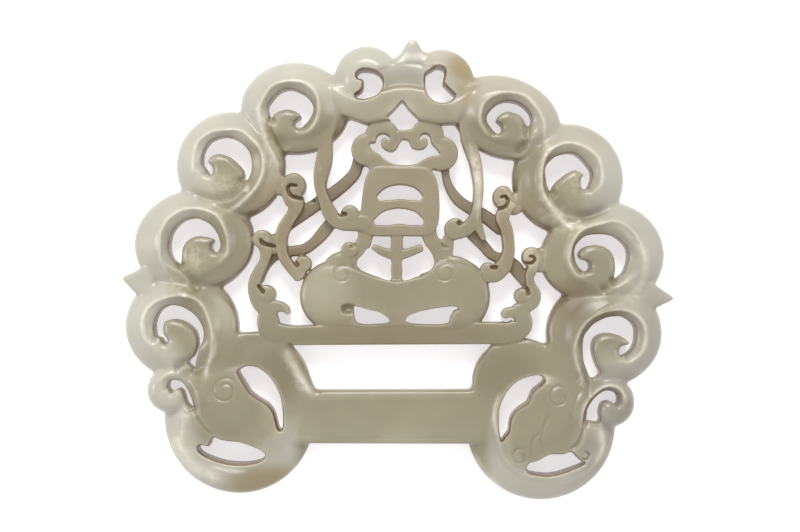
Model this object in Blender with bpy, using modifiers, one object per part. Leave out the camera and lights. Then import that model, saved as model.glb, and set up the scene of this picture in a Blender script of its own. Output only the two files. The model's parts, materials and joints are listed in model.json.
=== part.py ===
# An openwork jade plaque of lock form, carved as one piece, lying on its flat back.
# A border of ruyi scroll lobes holds a bell emblem, a creature pair, a curled platform and ribbons.
# Built in metres; the tables are in millimetres, +X right, +Y towards the plaque's top, +Z up.

import itertools
import math

import bmesh
import bpy
from mathutils import Vector

MM = 0.001

# heights of the flat and banded forms above the flat back
BAR_TOP = 5.5
PLATFORM_TOP = 5.1
EMBLEM_TOP = 5.0
RIBBON_TOP = 5.2
STRAP_TOP = 3.3
TOP_STEP = 0.011

# each family of domes: height of its top, how far it falls to its rim, and sides in the turn
DOMES = {
    "border_lobe": (6.4, 3.7, 26),
    "top_lobe": (6.2, 2.8, 16),
    "small_lobe": (6.0, 2.8, 16),
    "spike": (4.9, 1.4, 11),
    "ring": (5.9, 3.3, 32),
    "shoulder": (5.8, 2.2, 22),
    "ring_creature": (6.5, 2.2, 20),
    "pair": (5.7, 1.9, 20),
    "pair_ear": (5.2, 1.2, 14),
    "emblem_head": (EMBLEM_TOP - 0.1, 1.1, 14),
    "hook_head": (RIBBON_TOP + 0.1, 1.1, 11),
    "web": (STRAP_TOP + 0.9, 0.7, 9),
}

# each family of bands: height of its top and size of its bevel
BANDS = {
    "ribbon": (RIBBON_TOP, 0.9),
    "strap": (STRAP_TOP, 0.6),
    "curl": (PLATFORM_TOP + 0.15, 0.7),
    "limb": (EMBLEM_TOP - 0.25, 0.6),
}

# cutting: every form starts below the back, each a little deeper than the last so that no two
# undersides share a plane, and every cutter ends above the highest form
BELOW = -1.0
DEEPER = 0.013
CLEAR = 6.9
THROUGH = -2.0
EYE_FLOOR = 1.7

# how finely round shapes are stepped
STEP = 2.4
TURN = math.radians(30)
SWEEP_FINE = 16
PLATE_FINE = 4
ROUND_FINE = 2
BEND_SPAN = 10
STEP_SHARE = 0.75
BEND_SHARE = 0.6
STRAIGHT = 0.02
FREE = 100.0
JADE_COLOUR = (0.47, 0.44, 0.33, 1.0)
JADE_ROUGHNESS = 0.35

# domed lobes: x, y, half length, half width, tilt in degrees
BORDER_LOBES = [
    (-18.7, 29.4, 9.9, 8.4, 0),
    (-30.4, 18.9, 9.9, 9.9, 0),
    (-37.1, 5.1, 10.9, 9.5, 12),
    (-39.3, -10.2, 10.3, 9.6, 0),
    (19.5, 27.3, 10.4, 7.7, -20),
    (30.9, 16.5, 10.1, 10.1, 0),
    (37.6, 2.7, 10.8, 9.8, 0),
    (37.5, -11.5, 10.5, 9.7, 0),
]
TOP_LOBES = [(-5.6, 34.7, 6.0, 6.0, 0), (7.8, 34.0, 6.1, 6.1, 0)]
SMALL_LOBES = [(-41.5, -21.8, 4.1, 4.1, 0), (38.5, -24.0, 4.5, 4.5, 0)]
SPIKES = [(2.4, 39.8, 2.0, 2.0, 0), (-47.0, -1.5, 3.3, 1.7, 0), (46.9, -5.1, 3.3, 1.8, 8)]
RINGS = [(-29.1, -26.9, 13.4, 13.6, 0), (26.0, -28.4, 13.5, 13.4, 0)]
SHOULDERS = [(-24.2, -18.5, 7.6, 7.3, 0), (22.2, -20.4, 8.7, 8.0, 0)]
RING_CREATURES = [(-30.2, -24.5, 6.5, 6.9, 0), (27.3, -25.8, 6.9, 7.3, 0)]
PAIR = [(-11.3, -4.7, 6.5, 6.5, 0), (9.8, -4.7, 6.9, 7.1, 0)]
EMBLEM_HEAD = [
    (-2.9, 24.2, 3.1, 3.1, 0),
    (5.1, 24.4, 3.2, 3.2, 0),
    (-5.5, 21.8, 3.0, 3.0, 0),
    (7.8, 21.1, 3.1, 3.1, 0),
]
HOOK_HEADS = [
    (-8.7, 10.2, 1.7, 1.7, 0),
    (-18.9, 15.3, 2.3, 2.3, 0),
    (-17.3, 1.3, 1.5, 1.5, 0),
    (-24.4, 5.5, 1.7, 1.8, 0),
    (-23.8, -4.4, 1.7, 1.7, 0),
    (10.5, 7.5, 2.1, 2.1, 0),
    (19.3, 13.1, 2.0, 2.0, 0),
    (16.0, -0.2, 1.5, 1.5, 0),
    (24.4, 2.4, 1.8, 1.8, 0),
    (22.7, -4.9, 1.5, 1.5, 0),
    (-8.7, 3.6, 1.6, 1.6, 0),
]
PAIR_EARS = [(-10.5, 1.3, 3.0, 2.0, 20), (11.5, 0.6, 3.2, 1.6, -25)]
WEBS = [(-22.5, 4.7, 1.5, 1.9, 0), (21.3, 12.2, 1.5, 1.7, 0), (26.0, 2.6, 1.5, 2.2, 0)]

# ribbons: points along the middle, each x, y, half width
UPPER_RIBBONS = {
    "left_hanging": [(-12.5, 23.3, 1.5), (-14.2, 16.9, 1.1), (-13.3, 12.2, 1.3), (-9.3, 8.7, 1.5),
                     (-5.8, 8.5, 1.5)],
    "left_inner": [(-19.5, 14.2, 1.6), (-18.0, 11.6, 1.6), (-20.7, 6.7, 1.3), (-20.4, 1.8, 1.5),
                   (-17.8, -1.1, 1.6)],
    "left_outer": [(-24.9, 4.9, 0.9), (-24.0, 2.9, 1.1), (-26.2, -1.5, 1.1), (-25.5, -5.6, 1.3),
                   (-23.3, -7.3, 1.5)],
    "right_hanging": [(12.4, 24.0, 1.5), (14.4, 17.8, 1.0), (14.4, 11.6, 1.0), (13.6, 9.1, 1.4),
                      (11.3, 7.1, 1.5)],
    "right_end": [(14.4, 11.6, 0.9), (14.5, 9.1, 0.9), (15.1, 6.2, 0.9), (16.2, 4.0, 0.7)],
    "right_inner": [(20.4, 12.2, 1.3), (19.3, 9.5, 1.3), (20.1, 4.7, 1.0), (18.5, 0.0, 1.5),
                    (16.0, -0.9, 1.3)],
    "right_outer": [(25.1, 2.5, 1.1), (24.2, 0.0, 0.9), (25.1, -4.5, 1.0), (24.0, -6.0, 1.1),
                    (21.5, -7.3, 1.1)],
}
LOWER_STRAPS = {
    "left_high": [(-7.1, 20.4, 1.0), (-8.0, 17.5, 1.1), (-12.7, 13.3, 1.2), (-18.2, 9.8, 1.3)],
    "left_low": [(-11.5, 8.5, 1.1), (-17.1, 3.8, 1.2), (-22.9, 2.0, 1.5), (-25.5, -2.5, 0.8)],
    "right_high": [(8.9, 19.5, 0.9), (10.2, 14.2, 1.0), (14.9, 10.2, 1.2), (19.1, 6.5, 0.9)],
    "right_low": [(13.8, 8.0, 1.0), (16.5, 2.9, 1.3), (21.1, 0.4, 1.5), (24.4, -4.0, 0.9)],
}
PLATFORM_CURLS = {
    "left": [(-12.4, -11.8, 1.8), (-19.6, -11.8, 1.8), (-23.5, -10.0, 1.9), (-23.6, -7.5, 1.6),
             (-21.6, -6.5, 0.9), (-19.8, -7.8, 0.5)],
    "right": [(13.1, -11.5, 2.0), (19.0, -11.7, 2.0), (22.4, -10.0, 1.8), (21.6, -7.6, 1.2),
              (18.9, -7.6, 0.8)],
}
EMBLEM_LIMBS = {
    "left_foot": [(-5.6, 8.0, 1.5), (-6.2, 5.1, 1.3), (-7.6, 2.9, 1.6), (-8.7, 0.4, 1.6)],
    "right_foot": [(5.3, 8.0, 1.5), (6.0, 5.5, 1.3), (7.6, 3.5, 1.5), (8.7, 0.4, 1.6)],
    "clapper": [(-4.4, 4.0, 0.7), (-0.2, 2.7, 0.9), (4.2, 4.0, 0.7)],
    "right_link": [(9.4, 6.4, 0.8), (8.9, 4.6, 1.2), (8.6, 2.0, 1.2)],
    "post": [(-0.2, 8.0, 1.1), (-0.2, -3.0, 1.1)],
}

# flat pieces: corner points, and whether the outline is drawn smooth through them
PLATES = {
    "bridge": (6.0, False, [(-12.2, 33.0), (-9.6, 38.2), (0.4, 38.8), (10.4, 38.2), (13.8, 33.6),
                            (10.9, 26.5), (7.6, 26.3), (0.7, 27.6), (-5.8, 26.4), (-10.2, 28.0)]),
    "bell": (EMBLEM_TOP, True, [(-4.9, 18.2), (0.5, 18.6), (6.0, 18.0), (7.5, 12.5), (6.4, 6.8),
                                (0.4, 6.2), (-6.0, 6.8), (-6.6, 12.5)]),
    "neck": (4.85, False, [(-4.9, 17.4), (5.8, 17.4), (8.2, 21.0), (2.6, 25.4), (0.2, 25.4),
                           (-6.4, 21.0)]),
    "platform": (PLATFORM_TOP, False, [(-19.5, -13.6), (19.5, -13.4), (19.5, -9.4), (-18.5, -10.1)]),
    "pair_middle": (5.35, False, [(-9.6, 1.1), (-4.2, -1.1), (-0.2, -2.0), (4.0, -1.1), (7.6, 0.7),
                                  (9.5, -10.2), (-10.5, -10.2)]),
    "left_jamb": (5.3, False, [(-20.5, -12.9), (-17.4, -13.6), (-16.0, -16.6), (-14.3, -22.3),
                               (-20.5, -22.6)]),
    "right_jamb": (5.3, False, [(20.5, -12.9), (17.0, -13.6), (14.2, -17.4), (13.1, -22.3),
                                (19.5, -22.6)]),
    "bar": (BAR_TOP, False, [(-19.0, -21.8), (16.5, -21.7), (16.5, -31.5), (-18.0, -31.4)]),
}
PLATE_EDGE = 0.55
BLOCK_SIZE = (130.0, 120.0, 5.0)
CORE_PLACE = (-1.0, -26.5, 2.0)
CORE_SIZE = (30.0, 6.0, 5.0)
TURN_REACH = 0.1
CAP_REACH = 0.01
WELD_REACH = 0.02
THIN_RATIO = 0.75

# a dome's fall: part of the way out from its middle, and part of its drop there
DEEP_FALL = [(0.0, 0.0), (0.6, 0.0), (0.83, 0.22), (0.96, 0.6), (1.0, 1.0)]
SHALLOW_FALL = [(0.0, 0.0), (0.72, 0.0), (1.0, 1.0)]
SHALLOW = 1.5

# pierced scrolls: points along the hole, each x, y, half width. Narrow stretches are V grooves.
SCROLLS = {
    "left_1": [(-20.7, 23.5, 0.15), (-22.5, 25.5, 0.15), (-23.3, 27.8, 0.36), (-22.5, 29.8, 1.27),
               (-20.2, 30.9, 2.0), (-17.8, 30.1, 2.0), (-16.6, 28.2, 1.0), (-17.1, 26.8, 0.7),
               (-18.1, 25.8, 0.5)],
    "left_2": [(-36.7, 13.8, 0.15), (-33.8, 12.5, 0.15), (-30.5, 12.9, 0.15), (-28.2, 14.5, 0.2),
               (-27.1, 16.9, 0.82), (-27.8, 20.0, 1.45), (-30.0, 22.1, 1.55), (-32.5, 22.5, 1.64),
               (-34.5, 21.5, 1.27), (-35.1, 19.8, 0.91), (-34.0, 17.5, 0.73)],
    "left_3": [(-36.0, -4.2, 0.15), (-37.8, -1.5, 0.15), (-40.4, 1.5, 0.64), (-40.9, 4.2, 1.36),
               (-39.8, 6.9, 1.64), (-37.1, 7.9, 1.73), (-34.5, 7.3, 1.36), (-33.2, 5.6, 0.73),
               (-33.1, 3.8, 0.58)],
    "left_4": [(-39.1, -17.1, 0.15), (-37.5, -16.4, 0.64), (-36.2, -14.0, 0.73), (-36.2, -11.5, 0.91),
               (-37.8, -9.1, 1.27), (-40.5, -7.6, 1.36), (-43.3, -8.2, 1.36), (-44.0, -10.4, 1.09),
               (-42.5, -12.4, 0.64)],
    "left_small": [(-37.3, -24.2, 0.2), (-38.2, -22.4, 0.45), (-39.8, -20.8, 0.73), (-41.5, -21.3, 0.82)],
    "right_1": [(22.9, 22.2, 0.15), (23.7, 25.1, 0.25), (23.3, 27.8, 1.0), (21.5, 29.5, 1.18),
                (19.3, 29.6, 1.09), (17.1, 28.2, 1.18), (17.3, 26.2, 1.09), (18.3, 25.3, 0.45)],
    "right_2": [(37.3, 10.4, 0.15), (34.0, 9.5, 0.15), (30.4, 10.7, 0.15), (27.6, 14.0, 0.36),
                (27.5, 17.1, 1.0), (28.9, 19.1, 1.55), (31.6, 19.6, 1.73), (34.2, 18.2, 1.55),
                (34.2, 16.0, 0.82), (33.5, 14.9, 0.45)],
    "right_3": [(37.8, -3.3, 0.15), (39.3, -1.5, 0.33), (40.5, 1.1, 1.27), (39.6, 3.8, 1.45),
                (37.5, 5.3, 1.18), (34.9, 5.5, 1.0), (32.5, 3.8, 0.82), (32.5, 1.8, 0.73),
                (34.0, 0.5, 0.73)],
    "right_4": [(35.6, -19.3, 0.55), (34.4, -16.4, 0.91), (34.4, -13.6, 1.0), (35.5, -11.3, 1.09),
                (37.8, -10.0, 1.45), (40.4, -10.2, 1.45), (42.4, -12.0, 1.0), (41.8, -14.5, 0.91),
                (40.4, -14.4, 0.55)],
    "right_small": [(35.2, -27.3, 1.09), (34.9, -25.5, 1.18), (36.4, -23.6, 1.0), (38.5, -22.9, 1.0),
                    (39.6, -24.0, 0.55)],
}
SCROLL_SHOULDER = 4.2
GROOVE_SHOULDER = 4.9
OUTER_SLOPE = 0.75
INNER_SLOPE = 0.45
NARROW = 0.3
GROOVE_FLOOR = 0.3
TAPER_END = 0.2
TAPER_RATE = 3.5

# other pierced openings, with only a slight flare
OPENINGS = {
    "ogee": [(0.7, 30.4, 0.45), (0.9, 28.9, 1.27), (0.9, 27.5, 2.18), (0.9, 26.0, 1.64)],
    "left_ring_low": [(-34.9, -32.5, 0.73), (-32.0, -32.7, 1.82), (-28.2, -33.5, 1.55),
                      (-25.1, -33.3, 0.91)],
    "left_ring_side": [(-28.2, -18.4, 0.36), (-26.2, -19.5, 1.09), (-24.0, -21.6, 1.18),
                       (-22.2, -24.0, 1.09), (-21.1, -26.5, 0.73), (-20.7, -28.7, 0.36)],
    "right_ring_low": [(23.9, -36.0, 0.7), (26.2, -35.5, 1.45), (28.7, -34.9, 1.85), (31.0, -34.2, 1.6),
                       (33.2, -34.6, 0.5)],
    "right_ring_side": [(26.0, -19.8, 0.36), (23.6, -20.9, 1.27), (21.3, -22.4, 1.45), (19.6, -24.5, 1.27),
                        (19.1, -27.3, 0.91), (18.7, -29.8, 0.45)],
    "pair_left": [(-8.7, -7.1, 1.18), (-6.7, -8.0, 1.36), (-4.4, -8.6, 1.09), (-1.8, -9.2, 0.45)],
    "pair_right": [(1.6, -9.2, 0.45), (4.0, -8.7, 1.09), (6.9, -8.4, 1.55), (9.1, -8.0, 1.45),
                   (10.4, -7.1, 0.55)],
    "ruyi_middle": [(-4.9, 22.4, 0.45), (-2.4, 21.1, 0.91), (0.9, 20.7, 1.73), (4.2, 20.9, 1.09),
                    (7.1, 21.3, 0.73)],
    "ruyi_rise": [(1.3, 20.7, 1.09), (1.3, 22.0, 0.91), (1.3, 23.1, 0.64)],
    "ruyi_left": [(-4.2, 21.9, 0.6), (-4.0, 23.3, 0.4), (-3.1, 24.4, 0.35), (-1.9, 23.9, 0.3)],
    "ruyi_right": [(6.2, 21.6, 0.6), (6.2, 23.2, 0.4), (5.2, 24.4, 0.3), (4.1, 23.9, 0.25)],
    "bell_high": [(-3.2, 13.2, 0.7), (-1.8, 13.8, 1.2), (0.4, 14.2, 1.3), (2.6, 13.8, 1.2),
                  (3.9, 13.2, 0.7)],
    "bell_low": [(-3.8, 8.8, 0.7), (-2.2, 9.4, 1.3), (0.2, 9.8, 1.4), (2.6, 9.4, 1.3), (4.1, 8.8, 0.7)],
}
ROUND_OPENINGS = {
    "top_left": [(-7.3, 35.1), (-6.1, 36.1), (-3.7, 35.4), (-3.0, 33.4), (-4.3, 31.4), (-7.4, 31.3),
                 (-6.1, 32.8), (-6.0, 34.5)],
    "top_right": [(5.2, 35.0), (6.5, 36.2), (8.3, 35.8), (8.2, 33.8), (10.2, 31.4), (8.0, 30.4),
                  (5.6, 31.5), (4.9, 33.6)],
}
OPENING_SHOULDER = 4.6
OPENING_SLOPE = 0.25
ROUND_FLARE = 0.4

# drilled eyes and slits of the hooks, which stop short of the back
EYES = {
    "left_hanging": [(-10.0, 10.2, 0.51), (-9.3, 10.2, 0.36)],
    "left_inner": [(-18.6, 15.6, 0.3), (-19.6, 15.0, 0.35), (-18.9, 13.3, 0.35), (-15.6, 12.5, 0.27)],
    "left_tail": [(-18.9, 1.8, 0.36), (-18.5, 0.9, 0.45)],
    "left_outer": [(-24.5, 5.6, 0.33), (-24.2, 4.9, 0.44), (-22.2, 4.4, 0.27)],
    "left_foot": [(-25.5, -2.9, 0.27), (-24.4, -4.5, 0.4)],
    "right_hanging": [(11.3, 8.4, 0.55), (12.4, 9.3, 0.4)],
    "right_inner": [(18.6, 13.6, 0.25), (19.9, 12.8, 0.3), (19.0, 11.2, 0.3), (16.0, 10.8, 0.3)],
    "right_tail": [(17.0, 0.4, 0.36), (17.8, 0.7, 0.4)],
    "right_outer": [(24.0, 3.1, 0.22), (25.0, 2.2, 0.25), (24.2, 1.2, 0.25), (22.7, 1.3, 0.22)],
    "right_foot": [(23.8, -3.5, 0.29), (23.7, -4.5, 0.4)],
    "right_curl": [(17.6, -9.1, 0.45), (19.6, -9.1, 0.36), (20.4, -8.2, 0.33)],
    "pair_pit": [(-9.9, -7.2, 0.8), (-9.0, -7.1, 1.2), (-8.1, -7.2, 1.2)],
}

# shallow grooves that part one form from the next: shoulder height, slope, points
CREASES = {
    "bridge": (4.7, 1.5, [(-4.6, 34.6, 0.15), (0.5, 35.4, 0.15), (5.4, 34.9, 0.15)]),
    "left_ring": (5.0, 0.7, [(-36.7, -25.1, 0.12), (-35.4, -28.2, 0.12), (-33.0, -30.2, 0.12)]),
    "right_ring": (5.0, 0.7, [(34.2, -24.5, 0.12), (33.6, -28.5, 0.12), (31.3, -32.4, 0.12)]),
}
CREASE_FLOOR = 0.25


def clear_scene():
    for obj in list(bpy.data.objects):
        bpy.data.objects.remove(obj, do_unlink=True)


def new_collection(name):
    group = bpy.data.collections.new(name)
    bpy.context.scene.collection.children.link(group)
    return group


def show_as_helper(obj):
    """Forms that are joined, and cutters, are drawn as wires and left out of renders."""
    obj.hide_render = True
    obj.display_type = "WIRE"


def add_helper(name, mesh, group):
    obj = bpy.data.objects.new(name, mesh)
    group.objects.link(obj)
    show_as_helper(obj)
    return obj


def finish_mesh(work, name):
    """Turn the faces outwards and make a mesh of them."""
    bmesh.ops.recalc_face_normals(work, faces=work.faces)
    mesh = bpy.data.meshes.new(name)
    work.to_mesh(mesh)
    work.free()
    return mesh


def curve_between(a, b, c, d, t):
    """A Catmull-Rom curve from b to c."""
    place = []
    for p, q, r, s in zip(a, b, c, d):
        slope = r - p
        bend = 2 * p - 5 * q + 4 * r - s
        twist = 3 * q - p - 3 * r + s
        place.append(q + 0.5 * t * (slope + t * (bend + t * twist)))
    return place


def smooth_line(points, closed=False, fine=SWEEP_FINE):
    """Many points on a smooth line through the given ones."""
    count = len(points)
    line = []
    for i in range(count if closed else count - 1):
        if closed:
            corners = [points[(i + k) % count] for k in (-1, 0, 1, 2)]
        else:
            corners = [points[min(max(i + k, 0), count - 1)] for k in (-1, 0, 1, 2)]
        line += [curve_between(*corners, j / fine) for j in range(fine)]
    if not closed:
        line.append(list(points[-1]))
    return line


def stepped(line):
    """Keep a point wherever the line has run one step or turned by one turn."""
    cost = [0.0]
    for i in range(1, len(line)):
        here = Vector(line[i][:2]) - Vector(line[i - 1][:2])
        turned = 0.0
        if i > 1:
            before = Vector(line[i - 1][:2]) - Vector(line[i - 2][:2])
            turned = before.angle(here, 0.0)
        cost.append(cost[-1] + here.length / STEP + turned / TURN)
    pieces = max(2, math.ceil(cost[-1] * STEP_SHARE))
    kept = []
    place = 0
    for k in range(pieces + 1):
        wanted = cost[-1] * k / pieces
        while place < len(line) - 1 and cost[place] < wanted:
            place += 1
        kept.append(place)
    return kept


def bend_room(line, place, side):
    """How far a section may reach against and along side before it passes the bend's centre."""
    before = Vector(line[max(place - BEND_SPAN, 0)][:2])
    after = Vector(line[min(place + BEND_SPAN, len(line) - 1)][:2])
    middle = Vector(line[place][:2])
    coming = middle - before
    going = after - middle
    if coming.length == 0.0 or going.length == 0.0:
        return (FREE, FREE)
    turned = coming.angle(going)
    if turned < STRAIGHT:
        return (FREE, FREE)
    reach = BEND_SHARE * (coming.length + going.length) / 2 / turned
    if (going.normalized() - coming.normalized()).dot(side) < 0:
        return (reach, FREE)
    return (FREE, reach)


def dome(name, group, shape, top, drop, steps, below):
    """A low dome on an oval foot: a turned profile, stretched and turned to the lobe's shape."""
    x, y, half_length, half_width, tilt = shape
    falls = DEEP_FALL if drop > SHALLOW else SHALLOW_FALL
    profile = [(part, top - drop * fall) for part, fall in falls]
    profile += [(1.0, below), (0.0, below)]
    mesh = bpy.data.meshes.new(name)
    verts = [(half_length * part * MM, 0.0, z * MM) for part, z in profile]
    mesh.from_pydata(verts, [(i, i + 1) for i in range(len(verts) - 1)], [])
    obj = add_helper(name, mesh, group)
    obj.location = (x * MM, y * MM, 0.0)
    obj.rotation_euler = (0.0, 0.0, math.radians(tilt))
    obj.scale = (1.0, half_width / half_length, 1.0)
    turn = obj.modifiers.new("turn", "SCREW")
    turn.steps = steps
    turn.render_steps = steps
    turn.use_merge_vertices = True
    turn.merge_threshold = TURN_REACH * MM
    return obj


def sweep(name, group, points, section):
    """Join cross-sections along a smooth line. section(half width, part of the way) gives (offset, z)."""
    line = smooth_line(points)
    turning = 0.0
    for i in range(1, len(line) - 1):
        before = Vector(line[i][:2]) - Vector(line[i - 1][:2])
        after = Vector(line[i + 1][:2]) - Vector(line[i][:2])
        turning += before.cross(after)
    outward = -1.0 if turning > 0 else 1.0
    work = bmesh.new()
    rings = []
    for place in stepped(line):
        ahead = Vector(line[min(place + 1, len(line) - 1)][:2])
        behind = Vector(line[max(place - 1, 0)][:2])
        run = (ahead - behind).normalized()
        side = Vector((-run.y, run.x)) * outward
        room = bend_room(line, place, side)
        x, y, half = line[place]
        ring = []
        for off, z in section(half, place / (len(line) - 1)):
            off = max(off, -room[0]) if off < 0 else min(off, room[1])
            ring.append(work.verts.new(((x + side.x * off) * MM, (y + side.y * off) * MM, z * MM)))
        rings.append(ring)
    count = len(rings[0])
    for first, second in zip(rings, rings[1:]):
        for i in range(count):
            j = (i + 1) % count
            work.faces.new((first[i], first[j], second[j], second[i]))
    work.faces.new(rings[0])
    work.faces.new(list(reversed(rings[-1])))
    return add_helper(name, finish_mesh(work, name), group)


def band(name, group, points, top, edge, below):
    """A ribbon, strap or limb with bevelled edges."""
    def section(half, _part):
        crown = half / 2
        return [(-half, below), (-half, top - edge), (-crown, top), (crown, top), (half, top - edge),
                (half, below)]
    return sweep(name, group, points, section)


def scroll_cut(name, group, points):
    """A pierced scroll: a flared hole whose flares leave a crease, running out into a V groove."""
    def section(half, part):
        taper = min(1.0, TAPER_END + TAPER_RATE * min(part, 1.0 - part))
        if half > NARROW:
            low = SCROLL_SHOULDER
            floor = THROUGH
        else:
            low = GROOVE_SHOULDER
            floor = GROOVE_SHOULDER - GROOVE_FLOOR
        rise = CLEAR - low
        outer = half + OUTER_SLOPE * taper * rise
        inner = half + INNER_SLOPE * taper * rise
        return [(outer, CLEAR), (half, low), (half, floor), (-half, floor), (-half, low), (-inner, CLEAR)]
    return sweep(name, group, points, section)


def slot_cut(name, group, points, low, slope, floor):
    """An opening with even flares on both sides."""
    def section(half, _part):
        wide = half + slope * (CLEAR - low)
        return [(wide, CLEAR), (half, low), (half, floor), (-half, floor), (-half, low), (-wide, CLEAR)]
    return sweep(name, group, points, section)


def round_cut(name, group, corners):
    """A compact opening: one smooth outline, straight below and flared above."""
    line = smooth_line(corners, closed=True, fine=ROUND_FINE)
    middle_x = sum(x for x, y in line) / len(line)
    middle_y = sum(y for x, y in line) / len(line)
    flare = 1.0 + ROUND_FLARE
    work = bmesh.new()
    rings = []
    for grow, z in ((1.0, THROUGH), (1.0, OPENING_SHOULDER), (flare, CLEAR)):
        rings.append([work.verts.new(((middle_x + (x - middle_x) * grow) * MM,
                                      (middle_y + (y - middle_y) * grow) * MM, z * MM)) for x, y in line])
    for low, high in zip(rings, rings[1:]):
        for i in range(len(line)):
            j = (i + 1) % len(line)
            work.faces.new((low[i], low[j], high[j], high[i]))
    work.faces.new(rings[0])
    work.faces.new(rings[-1])
    return add_helper(name, finish_mesh(work, name), group)


def eye_cut(name, group, points):
    def section(half, _part):
        return [(half, CLEAR), (half, EYE_FLOOR), (-half, EYE_FLOOR), (-half, CLEAR)]
    return sweep(name, group, points, section)


def plate(name, group, top, smooth, corners, below):
    """A flat outline with a bevelled edge."""
    if smooth:
        line = smooth_line(corners, closed=True, fine=PLATE_FINE)
    else:
        line = corners
    outline = bpy.data.curves.new(name, "CURVE")
    outline.dimensions = "2D"
    outline.fill_mode = "BOTH"
    outline.extrude = ((top - below) / 2 - PLATE_EDGE) * MM
    outline.bevel_depth = PLATE_EDGE * MM
    outline.bevel_resolution = 0
    outline.offset = -PLATE_EDGE * MM
    spline = outline.splines.new("POLY")
    spline.points.add(len(line) - 1)
    for point, (x, y) in zip(spline.points, line):
        point.co = (x * MM, y * MM, 0.0, 1.0)
    spline.use_cyclic_u = True
    drawn = bpy.data.objects.new(name + "_outline", outline)
    group.objects.link(drawn)
    drawn.location = (0.0, 0.0, (top + below) / 2 * MM)
    bpy.context.view_layer.update()
    ready = drawn.evaluated_get(bpy.context.evaluated_depsgraph_get())
    mesh = bpy.data.meshes.new_from_object(ready)
    work = bmesh.new()
    work.from_mesh(mesh)
    bmesh.ops.remove_doubles(work, verts=work.verts, dist=CAP_REACH * MM)
    obj = add_helper(name, finish_mesh(work, name), group)
    obj.matrix_world = drawn.matrix_world.copy()
    bpy.data.objects.remove(drawn, do_unlink=True)
    return obj


def box(name, group, place, size):
    """A plain block, with its size applied."""
    bpy.ops.mesh.primitive_cube_add(size=1.0, location=[part * MM for part in place])
    block = bpy.context.object
    block.name = name
    block.scale = [side * MM for side in size]
    bpy.ops.object.transform_apply(location=True, rotation=True, scale=True)
    for holder in list(block.users_collection):
        holder.objects.unlink(block)
    group.objects.link(block)
    return block


def under_block(group):
    """The block that cuts the back flat."""
    show_as_helper(box("flat_back_cut", group, (0.0, 0.0, -BLOCK_SIZE[2] / 2), BLOCK_SIZE))


def jade_material():
    material = bpy.data.materials.new("celadon_jade")
    material.use_nodes = True
    shader = material.node_tree.nodes["Principled BSDF"]
    shader.inputs["Base Color"].default_value = JADE_COLOUR
    shader.inputs["Roughness"].default_value = JADE_ROUGHNESS
    shader.inputs["Metallic"].default_value = 0.0
    return material


def add_raised_forms(group):
    """Every raised form of the carving."""
    depths = (BELOW - DEEPER * number for number in itertools.count())
    shapes = {
        "border_lobe": BORDER_LOBES,
        "top_lobe": TOP_LOBES,
        "small_lobe": SMALL_LOBES,
        "spike": SPIKES,
        "ring": RINGS,
        "shoulder": SHOULDERS,
        "ring_creature": RING_CREATURES,
        "pair": PAIR,
        "pair_ear": PAIR_EARS,
        "emblem_head": EMBLEM_HEAD,
        "hook_head": HOOK_HEADS,
        "web": WEBS,
    }
    for family, ovals in shapes.items():
        top, drop, steps = DOMES[family]
        for number, oval in enumerate(ovals, 1):
            name = "%s_%d" % (family, number)
            dome(name, group, oval, top + TOP_STEP * number, drop, steps, next(depths))
    runs = {
        "ribbon": UPPER_RIBBONS,
        "strap": LOWER_STRAPS,
        "curl": PLATFORM_CURLS,
        "limb": EMBLEM_LIMBS,
    }
    for family, lines in runs.items():
        top, edge = BANDS[family]
        for number, (side, points) in enumerate(lines.items(), 1):
            band("%s_%s" % (family, side), group, points, top + TOP_STEP * number, edge, next(depths))
    for name, (top, smooth, corners) in PLATES.items():
        plate(name, group, top, smooth, corners, next(depths))


def add_cutters(group):
    for name, points in SCROLLS.items():
        scroll_cut("scroll_" + name, group, points)
    for name, points in OPENINGS.items():
        slot_cut("opening_" + name, group, points, OPENING_SHOULDER, OPENING_SLOPE, THROUGH)
    for name, corners in ROUND_OPENINGS.items():
        round_cut("opening_" + name, group, corners)
    for name, points in EYES.items():
        eye_cut("eye_" + name, group, points)
    for name, (low, slope, points) in CREASES.items():
        slot_cut("crease_" + name, group, points, low, slope, low - CREASE_FLOOR)
    under_block(group)


def build():
    clear_scene()
    part_group = new_collection("jade_plaque")
    raised_group = new_collection("raised_forms")
    cutter_group = new_collection("cutters")
    add_raised_forms(raised_group)
    add_cutters(cutter_group)

    # the plaque starts as the bottom bar's core, which every other form is joined to
    plaque = box("jade_plaque", part_group, CORE_PLACE, CORE_SIZE)
    plaque.data.materials.append(jade_material())

    join = plaque.modifiers.new("join_forms", "BOOLEAN")
    join.operation = "UNION"
    join.operand_type = "COLLECTION"
    join.collection = raised_group
    cut = plaque.modifiers.new("cut_openings", "BOOLEAN")
    cut.operation = "DIFFERENCE"
    cut.operand_type = "COLLECTION"
    cut.collection = cutter_group
    weld = plaque.modifiers.new("weld", "WELD")
    weld.merge_threshold = WELD_REACH * MM
    thin = plaque.modifiers.new("thin", "DECIMATE")
    thin.decimate_type = "COLLAPSE"
    thin.ratio = THIN_RATIO
    thin.use_collapse_triangulate = True


build()
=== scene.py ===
import json
import math

import bmesh
import bpy
import numpy as np
from mathutils import Matrix, Vector

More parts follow.
